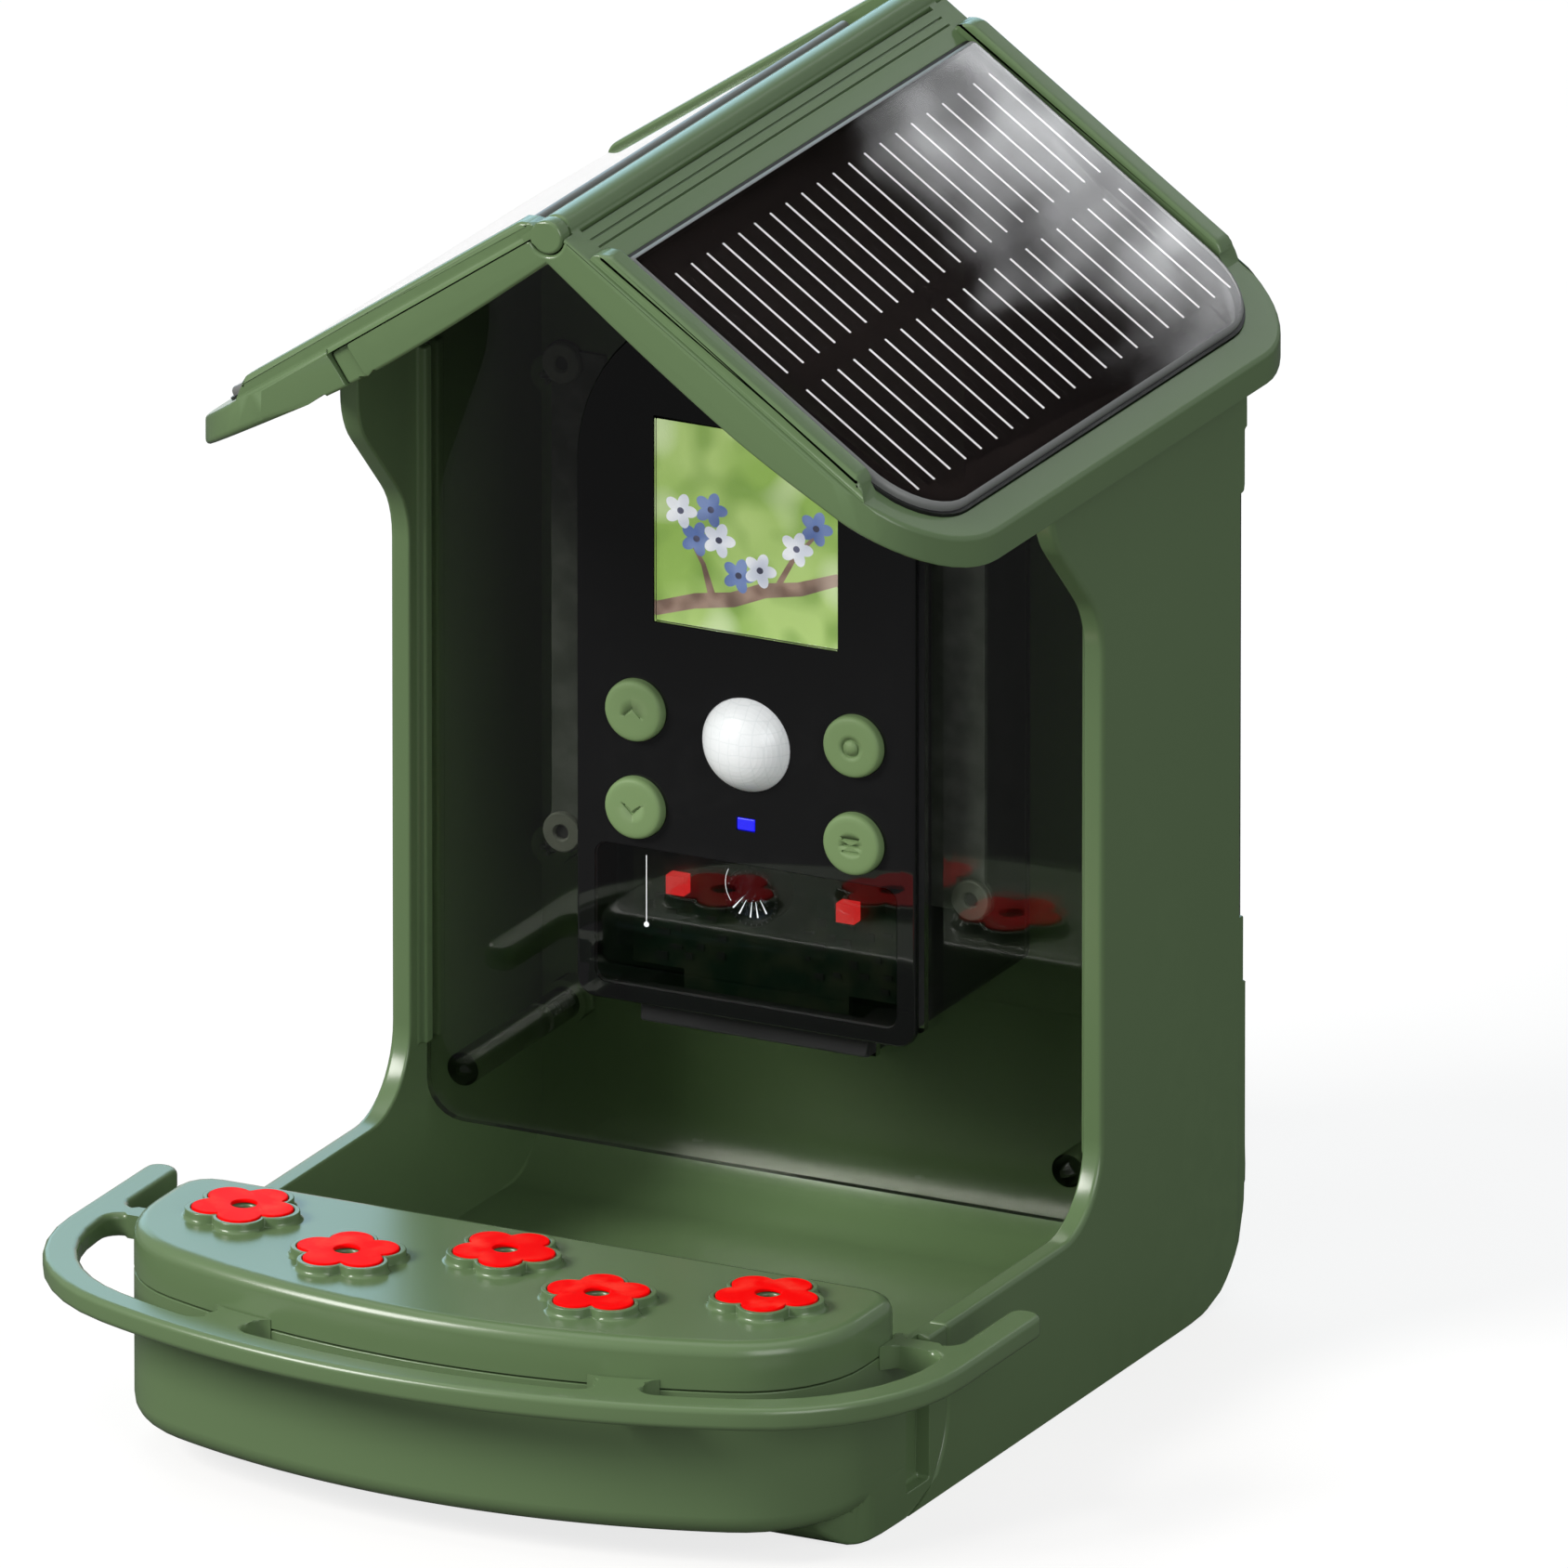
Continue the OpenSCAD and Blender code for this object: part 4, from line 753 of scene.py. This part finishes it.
def solid(tree, kind, **ends):
    """A plain mesh, such as a cube or a circle. An underscore in an end's name stands for a space."""
    ends = {key.replace("_", " "): end for key, end in ends.items()}
    return add_node(tree, kind, ends).outputs["Mesh"]


def outwards(tree):
    """The turn that points a piece's X away from the middle."""
    place = add_node(tree, "GeometryNodeInputPosition").outputs[0]
    return add_node(tree, "FunctionNodeAlignRotationToVector", {"Vector": place}, axis="X",
                    pivot_axis="Z").outputs[0]


def moved_up(tree, geometry, height):
    """Geometry moved up."""
    ends = {"Geometry": geometry, "Translation": vector(tree, 0, 0, height)}
    return add_node(tree, "GeometryNodeTransform", ends).outputs[0]


def screw_tree():
    """Pan-head screws with a cross recess and a thread, heads up, one at each place."""
    tree, start, end = geometry_group("pan_head_screws", {
        "Head Radius": 2.8, "Head Height": 1.6, "Shaft Radius": 1.5, "Shaft Length": 8.0,
        "Thread Pitch": 0.9})
    radius, height = start.outputs["Head Radius"], start.outputs["Head Height"]
    shaft, length = start.outputs["Shaft Radius"], start.outputs["Shaft Length"]
    pitch = start.outputs["Thread Pitch"]

    def times(value, factor):
        return maths(tree, "MULTIPLY", value, factor)

    rim = solid(tree, "GeometryNodeMeshCylinder", Vertices=32, Radius=radius, Depth=times(height, 0.55))
    crown = solid(tree, "GeometryNodeMeshCone", Vertices=32, Radius_Top=times(radius, 0.66),
                  Radius_Bottom=radius, Depth=times(height, 0.46))
    head = add_node(tree, "GeometryNodeMeshBoolean", operation="UNION")
    feed(tree, moved_up(tree, rim, times(height, 0.275)), head.inputs["Mesh 2"])
    feed(tree, moved_up(tree, crown, times(height, 0.54)), head.inputs["Mesh 2"])
    bars = add_node(tree, "GeometryNodeJoinGeometry")
    reach, thin = times(radius, 1.05), times(radius, 0.26)
    for size in ((reach, thin), (thin, reach)):
        bar = solid(tree, "GeometryNodeMeshCube", Size=vector(tree, *size, height))
        feed(tree, moved_up(tree, bar, height), bars.inputs[0])
    cut = add_node(tree, "GeometryNodeMeshBoolean", {"Mesh 1": head.outputs["Mesh"],
                                                     "Mesh 2": bars.outputs[0]}, operation="DIFFERENCE")
    core = solid(tree, "GeometryNodeMeshCylinder", Vertices=20, Radius=times(shaft, 0.8), Depth=length)
    turns = maths(tree, "SUBTRACT", maths(tree, "DIVIDE", length, pitch), 1.2)
    climb = maths(tree, "MULTIPLY", turns, pitch)
    mid_radius = times(shaft, 0.82)
    spiral = add_node(tree, "GeometryNodeCurveSpiral", {
        "Resolution": 14, "Rotations": turns, "Start Radius": mid_radius, "End Radius": mid_radius,
        "Height": climb}).outputs[0]
    blade = add_node(tree, "GeometryNodeCurvePrimitiveCircle", {"Resolution": 4,
                                                                "Radius": times(shaft, 0.17)}).outputs[0]
    thread = add_node(tree, "GeometryNodeCurveToMesh", {"Curve": spiral, "Profile Curve": blade,
                                                        "Fill Caps": True}).outputs[0]
    screw = add_node(tree, "GeometryNodeJoinGeometry")
    feed(tree, cut.outputs["Mesh"], screw.inputs[0])
    feed(tree, moved_up(tree, core, times(length, -0.5)), screw.inputs[0])
    feed(tree, moved_up(tree, thread, times(maths(tree, "ADD", climb, 0.35), -1.0)), screw.inputs[0])
    return close_group(tree, start, end, spread(tree, start.outputs["Places"], screw.outputs[0]))


def line_tree():
    """Rows of thin bars side by side along Y, one row from each place."""
    tree, start, end = geometry_group("contact_lines", {
        "Count": 21, "Pitch": 6.96, "Length": 30.0, "Width": 0.7, "Thickness": 0.05})
    step = vector(tree, 0, start.outputs["Pitch"], 0)
    row = solid(tree, "GeometryNodeMeshLine", Count=start.outputs["Count"], Offset=step)
    size = vector(tree, *[start.outputs[key] for key in ("Length", "Width", "Thickness")])
    lines = spread(tree, row, solid(tree, "GeometryNodeMeshCube", Size=size))
    return close_group(tree, start, end, spread(tree, start.outputs["Places"], lines))


def rib_tree():
    """Short ribs that stand round a ring, pointing to its middle."""
    tree, start, end = geometry_group("ring_ribs", {
        "Count": 24, "Ring Radius": 5.5, "Rib Size": (1.0, 0.35, 0.3)})
    circle = solid(tree, "GeometryNodeMeshCircle", Vertices=start.outputs["Count"],
                   Radius=start.outputs["Ring Radius"])
    rib = solid(tree, "GeometryNodeMeshCube", Size=start.outputs["Rib Size"])
    ribs = spread(tree, circle, rib, Rotation=outwards(tree))
    return close_group(tree, start, end, spread(tree, start.outputs["Places"], ribs))


def chip_tree():
    """Board parts: small boxes strewn over a face, each scaled at random from a fixed seed."""
    tree, start, end = geometry_group("board_parts", {
        "Spacing": 4.0, "Density": 0.05, "Part Size": (2.0, 1.2, 0.8), "Seed": 7})
    strewn = add_node(tree, "GeometryNodeDistributePointsOnFaces", {
        "Mesh": start.outputs["Places"], "Distance Min": start.outputs["Spacing"],
        "Density Max": start.outputs["Density"], "Seed": start.outputs["Seed"]},
        distribute_method="POISSON")
    part = solid(tree, "GeometryNodeMeshCube", Size=start.outputs["Part Size"])
    stretch = add_node(tree, "FunctionNodeRandomValue", {
        "Seed": start.outputs["Seed"], 0: (0.5, 0.5, 0.6), 1: (1.5, 1.4, 1.2)}, data_type="FLOAT_VECTOR")
    parts = spread(tree, strewn.outputs["Points"], part, Scale=stretch.outputs[0])
    return close_group(tree, start, end, parts)


def petal_tree():
    """Blossoms of flat petals, one at each place, drawn in the XY plane."""
    tree, start, end = geometry_group("blossoms", {
        "Petals": 5, "Reach": 2.4, "Petal Size": (1.9, 1.3, 0.02)})
    circle = solid(tree, "GeometryNodeMeshCircle", Vertices=start.outputs["Petals"],
                   Radius=start.outputs["Reach"])
    petal = solid(tree, "GeometryNodeMeshCylinder", Vertices=18, Radius=1.0, Depth=1.0)
    petals = spread(tree, circle, petal, Rotation=outwards(tree), Scale=start.outputs["Petal Size"])
    return close_group(tree, start, end, spread(tree, start.outputs["Places"], petals))


SCREWS = screw_tree()
CONTACT_LINES = line_tree()
RIBS = rib_tree()
BOARD_PARTS = chip_tree()
BLOSSOMS = petal_tree()


def grown(name, tree, places, values, finish, matrix, faces=()):
    """Runs a geometry node tree on its places, then puts the plain mesh in the shell."""
    mesh = bpy.data.meshes.new(name)
    mesh.from_pydata([tuple(p) for p in places], [], list(faces))
    piece = new_piece(name, mesh)
    modifier = piece.modifiers.new("grow", "NODES")
    modifier.node_group = tree
    given = {**values, "Finish": finish}
    for socket in tree.interface.items_tree:
        if socket.item_type == "SOCKET" and socket.in_out == "INPUT" and socket.name in given:
            modifier[socket.identifier] = given[socket.name]
    settled(piece)
    work = bmesh.new()
    work.from_mesh(piece.data)
    bmesh.ops.recalc_face_normals(work, faces=work.faces)
    work.to_mesh(piece.data)
    work.free()
    piece.data.transform(matrix)
    return piece


# Screws

FRONTWARDS = Matrix.Rotation(math.pi / 2, 4, "X")
BACKWARDS = Matrix.Rotation(-math.pi / 2, 4, "X")
DOWNWARDS = Matrix.Rotation(math.pi, 4, "X")
SCREW_ROWS = [
    ("window_screws", BACKWARDS, [(x, 62.9, 41) for x in (-68, 68)], 17.4),
    ("tray_screws", DOWNWARDS, [(x, -64.5, 1.6) for x in (-50, 0, 50)], 5.2),
    ("case_screws", BACKWARDS, [(-32, 56, 70.5), (32, 56, 70.5), (-27, 56, 195.5), (27, 56, 195.5)], 22.4),
    ("camera_screws", BACKWARDS, [(0, 59.9, z) for z in (90, 130)], 11.9),
    ("plate_screws", FRONTWARDS, [(x, 54.5, z) for x in (-71, 71) for z in (74, 174.5)], 11.7),
]
ROOF_SCREWS = [(SLOPE_LENGTH - 24, 16, -9.0), (SLOPE_LENGTH - 24, 50, -9.0), (30, 54.5, -9.0)]


def screws(node, turn, places, length, base=SHELL_FRAME):
    """The screws of one CAD node. A turn points their heads the right way."""
    back = turn.inverted()
    values = {"Head Radius": 2.8, "Head Height": 1.6, "Shaft Radius": 1.5, "Shaft Length": length,
              "Thread Pitch": 0.9}
    places = [back @ Vector(p) for p in places]
    piece = grown(node + "_turned", SCREWS, places, values, STEEL, base @ turn)
    join_frame(smooth(piece, 25.0), BODY_OF[node], SLOT_OF[node], node)


for row in SCREW_ROWS:
    screws(*row)
screws("roof_screws", DOWNWARDS, ROOF_SCREWS, 6.8, slope_frame(1))


# Contact lines on the two cell sheets

LINE_LENGTH = 30.26
LINE_STARTS = (23.43, 58.73)
FIRST_LINE_Y = -70.34
for side, name, body in ((1, "cell_lines_right", ROOT_BODY), (-1, "cell_lines_left", LID_BODY)):
    places = [(side * (s + LINE_LENGTH / 2), FIRST_LINE_Y, CELL_SHEET - GLASS_SEAT) for s in LINE_STARTS]
    values = {"Count": 21, "Pitch": 6.96, "Length": LINE_LENGTH, "Width": 0.72, "Thickness": 0.06}
    piece = grown(name, CONTACT_LINES, places, values, LINES, slope_frame(side))
    join_frame(piece, body, "solar_cells")


# Lens

barrel = [(3.0, -7.9), (6.2, -7.9), (6.2, -1.6), (5.9, -1.25), (5.35, -1.25), (5.1, -1.6), (5.1, -2.9),
          (4.6, -3.05), (4.6, -3.6), (4.1, -3.75), (4.1, -4.3), (3.6, -4.45), (3.6, -5.0), (3.0, -5.2)]
piece = turned("lens_rings", [(r, h - BEZEL_DEPTH) for r, h in barrel], facing_front(0, 0, LENS_Z), BLACK, 56)
join_frame(piece, BODY_OF["lens_barrel"], SLOT_OF["lens_barrel"], "lens_barrel")
values = {"Count": 28, "Ring Radius": 5.65, "Rib Size": (0.5, 0.28, 0.2)}
piece = grown("lens_ribs", RIBS, [(0, 0, -3.22)], values, STEEL, facing_front(0, 0, LENS_Z))
join_frame(piece, ROOT_BODY, "lens_black")


# Painted highlight: a thin glowing strip and dot on the back of the lens window stand in for a bright edge
# highlight
HIGHLIGHT_X = -23.0
highlight_outlines = [box_outline(HIGHLIGHT_X - 0.045, HIGHLIGHT_X + 0.045, 81.5, 95.9), ellipse(HIGHLIGHT_X, 81.2, 0.55, 0.55)]
piece = slab("painted_highlight_glow", highlight_outlines, 0.0, 0.22, facing_front(0, 2.24, 0), GLINT_GLOW)
join_frame(piece, ROOT_BODY, "clear_smoke")


# Painted glints: a curve and a fan of thin rays glow behind the lens window, standing in for light caught on
# the lens ring
GLINT_X = 0.97
GLINT_Z = 93.0
GLINT_RADIUS = 6.3
turns = [math.radians(153 + 8 * step) for step in range(9)]
glint_arc = [(GLINT_X + r * math.cos(a), GLINT_Z + r * math.sin(a))
       for r, way in ((GLINT_RADIUS + 0.05, 1), (GLINT_RADIUS - 0.05, -1))
       for a in turns[::way]]
glint_streaks = []
for x, z in ((-3.6, 87.8), (-2.23, 86.7), (0.29, 86.3), (1.97, 86.45), (3.95, 87.6)):
    along = Vector((x - GLINT_X, z - GLINT_Z))
    across = Vector((-along.y, along.x)).normalized()
    near, far = Vector((GLINT_X, GLINT_Z)) + along * 0.5, Vector((x, z))
    corners = (near - across * 0.04, far - across * 0.17, far + across * 0.17, near + across * 0.04)
    glint_streaks.append([tuple(p) for p in corners])
piece = slab("painted_lens_glints", [glint_arc] + glint_streaks, 0.0, 0.05, facing_front(0, 2.3, 0), GLINT_GLOW)
join_frame(piece, ROOT_BODY, "lens_glass")


# Picture on the display, between the panel and its glass

def display_place(x, y):
    """Turns a picture's own plane to the display, with the picture's middle at a point of the glass."""
    return facing_front(x, y, DISPLAY_Z)


half_w, half_h = DISPLAY_WIDTH / 2 - 0.15, DISPLAY_HEIGHT / 2 - 0.15
piece = slab("picture_ground", [box_outline(-half_w, half_w, -half_h, half_h)], 0.0, 0.03,
             display_place(0, 1.985), GARDEN)
join_frame(piece, ROOT_BODY, "display")
branch = [[(-half_w, -17.5), (-12, -14.6), (-4, -13.2), (3, -10.2), (11, -8.8), (half_w, -5.4),
           (half_w, -8.0), (12, -11.6), (4, -13.2), (-3, -16.2), (-12, -17.9), (-half_w, -20.6)],
          [(-7.5, -13.9), (-9.6, -8.0), (-12.8, -3.2), (-13.4, -3.5), (-10.6, -8.4), (-9.2, -14.1)],
          [(6.2, -9.6), (9.8, -3.4), (14.6, 1.6), (15.1, 1.1), (10.7, -4.0), (7.8, -9.4)]]
piece = slab("picture_branch", branch, 0.0, 0.025, display_place(0, 1.945), BRANCH)
join_frame(piece, ROOT_BODY, "display")
BLUE_BLOSSOMS = [(-11.6, -3.0), (-8.4, 3.6), (-2.2, -9.4), (15.2, 3.2)]
PALE_BLOSSOMS = [(-15.2, 2.4), (-6.6, -2.6), (10.8, -1.8), (2.6, -7.6)]
values = {"Petals": 5, "Reach": 2.0, "Petal Size": (1.75, 1.25, 0.02)}
for name, centres, finish, depth in (("picture_blossoms_blue", BLUE_BLOSSOMS, BLUE_PETAL, 1.915),
                                     ("picture_blossoms_pale", PALE_BLOSSOMS, PALE_PETAL, 1.885)):
    places = [(x, y, 0) for x, y in centres]
    piece = grown(name, BLOSSOMS, places, values, finish, display_place(0, depth))
    join_frame(piece, ROOT_BODY, "display")
buds = [ellipse(x, y, 0.75, 0.7) for x, y in BLUE_BLOSSOMS + PALE_BLOSSOMS]
piece = slab("picture_buds", buds, 0.0, 0.02, display_place(0, 1.86), BUD)
join_frame(piece, ROOT_BODY, "display")


# Camera case ears behind the window, each with two bosses

EAR_BOSSES = {"low": 94.8, "high": 194.3}
EAR_BOSS_X = 45.9


def ear(side, end):
    """One ear with its two bosses; a black disc in each boss's hole is painted shade."""
    outline = [(side * x, z) for x, z in ((36.7, 92.0), (48.6, 92.0), (48.6, 197.0), (36.7, 197.0))]
    rounds = [ellipse(side * EAR_BOSS_X, z, 4.5, 4.5, 0, 32) for z in EAR_BOSSES.values()]
    plate = slab("case_ear_" + end, [outline] + rounds, -12.2, -11.0, SHELL_FRAME @ FRONTWARDS, FROST)
    join_frame(plate, ROOT_BODY, "clear_smoke")
    for name, z in EAR_BOSSES.items():
        place = facing_front(side * EAR_BOSS_X, 10.98, z)
        profile = [(1.5, 0.0), (4.2, 0.0), (4.2, 1.0), (3.95, 1.3), (1.9, 1.3), (1.5, 0.9)]
        boss = turned(f"ear_boss_{end}_{name}", profile, place, BOSS, 40)
        join_frame(boss, ROOT_BODY, "clear_smoke")
        # Painted shade: a black disc at the foot of each boss's hole stands in for the hole's darkness.
        profile = [(0, 0), (1.48, 0), (1.48, 0.2), (0, 0.15)]
        bore_shade = turned(f"painted_bore_shade_{end}_{name}", profile, place, BLACK, 24)
        join_frame(bore_shade, ROOT_BODY, "clear_smoke")


ear(-1, "left")
ear(1, "right")


# Parts on the boards

MAIN_BOARD_FRONT = 26.0
SENSOR_BOARD_FRONT = 10.0
KEY_BOARD_FRONT = 8.0
BOARD_FACES = [
    ("main_board_parts", (-24, 24, 74, 104), MAIN_BOARD_FRONT, 5),
    ("sensor_board_parts", (9, 28, 72, 85), SENSOR_BOARD_FRONT, 11),
    ("sensor_board_parts_left", (-28, -9, 72, 85), SENSOR_BOARD_FRONT, 3),
    ("key_board_parts", (-14, 14, 101.5, 116), KEY_BOARD_FRONT, 8),
]
for name, (x0, x1, z0, z1), front, seed in BOARD_FACES:
    corners = [(x0, z0, 0), (x1, z0, 0), (x1, z1, 0), (x0, z1, 0)]
    values = {"Spacing": 3.2, "Density": 0.5, "Part Size": (1.9, 1.2, 0.9), "Seed": seed}
    piece = grown(name, BOARD_PARTS, corners, values, CHIP, facing_front(0, front, 0), [(0, 1, 2, 3)])
    join_frame(piece, ROOT_BODY, "circuit_board")


# Camera, as far away as a parallel view asks

AZIMUTH = math.radians(26.74)
ELEVATION = math.radians(19.24)
LENS_LENGTH = 1500.0
MIDDLE_DEPTH = 60.0
PIXELS_PER_MM = 5.38106
PHOTO_SIDE = 1688
ORIGIN_U = 802.75
ORIGIN_V = 1428.58
SENSOR = 36.0
right = Vector((math.cos(AZIMUTH), math.sin(AZIMUTH), 0))
up = Vector((-math.sin(AZIMUTH) * math.sin(ELEVATION), math.cos(AZIMUTH) * math.sin(ELEVATION),
             math.cos(ELEVATION)))
towards = right.cross(up)
middle = right * ((PHOTO_SIDE / 2 - ORIGIN_U) / PIXELS_PER_MM)
middle += up * ((ORIGIN_V - PHOTO_SIDE / 2) / PIXELS_PER_MM)
middle += Vector((0, WALL_Y, 0)) + towards * MIDDLE_DEPTH
camera = bpy.data.objects.new("camera", bpy.data.cameras.new("camera"))
bpy.context.scene.collection.objects.link(camera)
camera.data.lens = LENS_LENGTH
camera.data.sensor_width = SENSOR
distance = LENS_LENGTH * PHOTO_SIDE / (SENSOR * PIXELS_PER_MM)
camera.location = (middle + towards * distance) * MM
camera.rotation_euler = towards.to_track_quat("Z", "Y").to_euler()
camera.data.clip_start = 1.0
camera.data.clip_end = 60.0
bpy.context.scene.camera = camera


# Floor, world and lamps

def stage_plane(name, width, height, matrix, material):
    """A plane that isn't part of the object."""
    mesh = bpy.data.meshes.new(name)
    w, h = width / 2, height / 2
    mesh.from_pydata([(-w, -h, 0), (w, -h, 0), (w, h, 0), (-w, h, 0)], [], [(0, 1, 2, 3)])
    made = new_piece(name, mesh, material)
    made.matrix_world = matrix
    return made


def floor_paper():
    """Paper that is white to the camera and keeps the shadow. All else finds it grey, mirrors darkest."""
    values = {"Colour": (0.23, 0.225, 0.22, 1), "Cloud Colour": (0.215, 0.21, 0.205, 1), "Rub": 0.0,
              "Roughness Low": 0.8, "Roughness High": 0.9, "Grain Scale": 900.0}
    made = surface_material("floor_paper", MOULDED, values, 0.0, Specular_IOR_Level=0.0)
    tree = made.node_tree
    body = tree.nodes["Principled BSDF"]
    path, seen = seen_straight(tree)
    glow = add_node(tree, "ShaderNodeEmission", {"Color": (1, 1, 1, 1), "Strength": 0.78})
    both = add_node(tree, "ShaderNodeAddShader", {0: body.outputs[0], 1: glow.outputs[0]})
    night = add_node(tree, "ShaderNodeBsdfDiffuse", {"Color": (0.085, 0.085, 0.085, 1)})
    mirrored = shader_mix(tree, path.outputs["Is Glossy Ray"], body, night)
    end_material(tree, shader_mix(tree, seen, mirrored, both))
    made.cycles.emission_sampling = "NONE"
    return made


def glossy_only(name, colour, strength):
    """A card that only shows in reflections, with a glow of a given strength."""
    made, tree, body = principled(name)
    tree.nodes.remove(body)
    glow = add_node(tree, "ShaderNodeEmission", {"Color": (*colour, 1), "Strength": strength(tree)})
    nothing = add_node(tree, "ShaderNodeBsdfTransparent")
    path = add_node(tree, "ShaderNodeLightPath")
    end_material(tree, shader_mix(tree, path.outputs["Is Glossy Ray"], nothing, glow))
    made.cycles.emission_sampling = "NONE"
    return made


def clouds(tree):
    """Bright clouds on the side of the card that the back of the right panel mirrors."""
    place = add_node(tree, "ShaderNodeTexCoord").outputs["Object"]
    parts = add_node(tree, "ShaderNodeSeparateXYZ", {"Vector": place})
    along = maths(tree, "ADD", maths(tree, "MULTIPLY", parts.outputs[0], 1.094),
                  maths(tree, "MULTIPLY", parts.outputs[1], -1.584))
    billow = maths(tree, "MULTIPLY", maths(tree, "SUBTRACT", object_noise(tree, 42.0, 1.5), 0.5), 0.11)
    rise = span(tree, maths(tree, "ADD", along, billow), 0.032, 0.1, 0.0, 1.0)
    puffs = span(tree, object_noise(tree, 70.0, 1.0), 0.35, 0.65, 0.5, 1.0)
    return maths(tree, "MULTIPLY", maths(tree, "MULTIPLY", rise, puffs), 6.0)


FLOOR_SIDE = 12.0
FLOOR_DROP = 0.0002
stage_plane("floor", FLOOR_SIDE, FLOOR_SIDE, Matrix.Translation((0, 0, -FLOOR_DROP)), floor_paper())
panel_middle = Vector((0.0467, 0.0376, 0.228))
cloud_way = Vector((0.154, 0.843, 0.515))
cloud_turn = cloud_way.to_track_quat("Z", "Y").to_matrix().to_4x4()
CLOUD_DISTANCE = 1.4
stage_plane("cloud_card", 0.16, 0.22,
            Matrix.Translation(panel_middle + cloud_way * CLOUD_DISTANCE) @ cloud_turn,
            glossy_only("cloud_card", (0.95, 0.97, 1.0), clouds))
back_left = Matrix.Translation((-0.275, 0.45, 0.095)) @ Matrix.Rotation(math.pi / 2, 4, "X")
stage_plane("white_card", 0.3, 0.18, back_left, glossy_only("white_card", (1.0, 1.0, 1.0), lambda tree: 1.05))

world = bpy.data.worlds.new("studio")
bpy.context.scene.world = world
world.use_nodes = True
sky = world.node_tree
backdrop = sky.nodes["Background"]
backdrop.inputs["Color"].default_value = (0.94, 0.97, 1.0, 1)
backdrop.inputs["Strength"].default_value = 0.36
seen = add_node(sky, "ShaderNodeBackground", {"Color": (1, 1, 1, 1), "Strength": 1.0})
mixed = shader_mix(sky, seen_straight(sky)[1], backdrop, seen)
feed(sky, mixed.outputs[0], sky.nodes["World Output"].inputs["Surface"])


def lamp(name, place, target, width, height, power, colour=(1, 1, 1)):
    """A soft lamp that looks at a point."""
    data = bpy.data.lights.new(name, "AREA")
    data.shape = "RECTANGLE"
    data.size = width
    data.size_y = height
    data.energy = power
    data.color = colour
    made = bpy.data.objects.new(name, data)
    bpy.context.scene.collection.objects.link(made)
    made.location = place
    made.rotation_mode = "QUATERNION"
    made.rotation_quaternion = (Vector(place) - Vector(target)).to_track_quat("Z", "Y")
    return made


lamp("key", (-1.5, -1.75, 1.6), (0, 0, 0.12), 1.1, 1.1, 80.0, (1.0, 0.985, 0.95))
lamp("sky_left", (-1.1, 1.75, 0.72), (-0.05, -0.05, 0.06), 1.9, 1.1, 13.5, (0.46, 0.8, 1.0))
lamp("right_fill", (1.6, -1.3, 0.9), (0, -0.05, 0.08), 1.2, 1.2, 16.0)
lamp("top", (-0.1, 0.3, 2.3), (0, 0, 0.2), 2.2, 2.2, 14.0)

bpy.context.scene.view_settings.view_transform = "Standard"
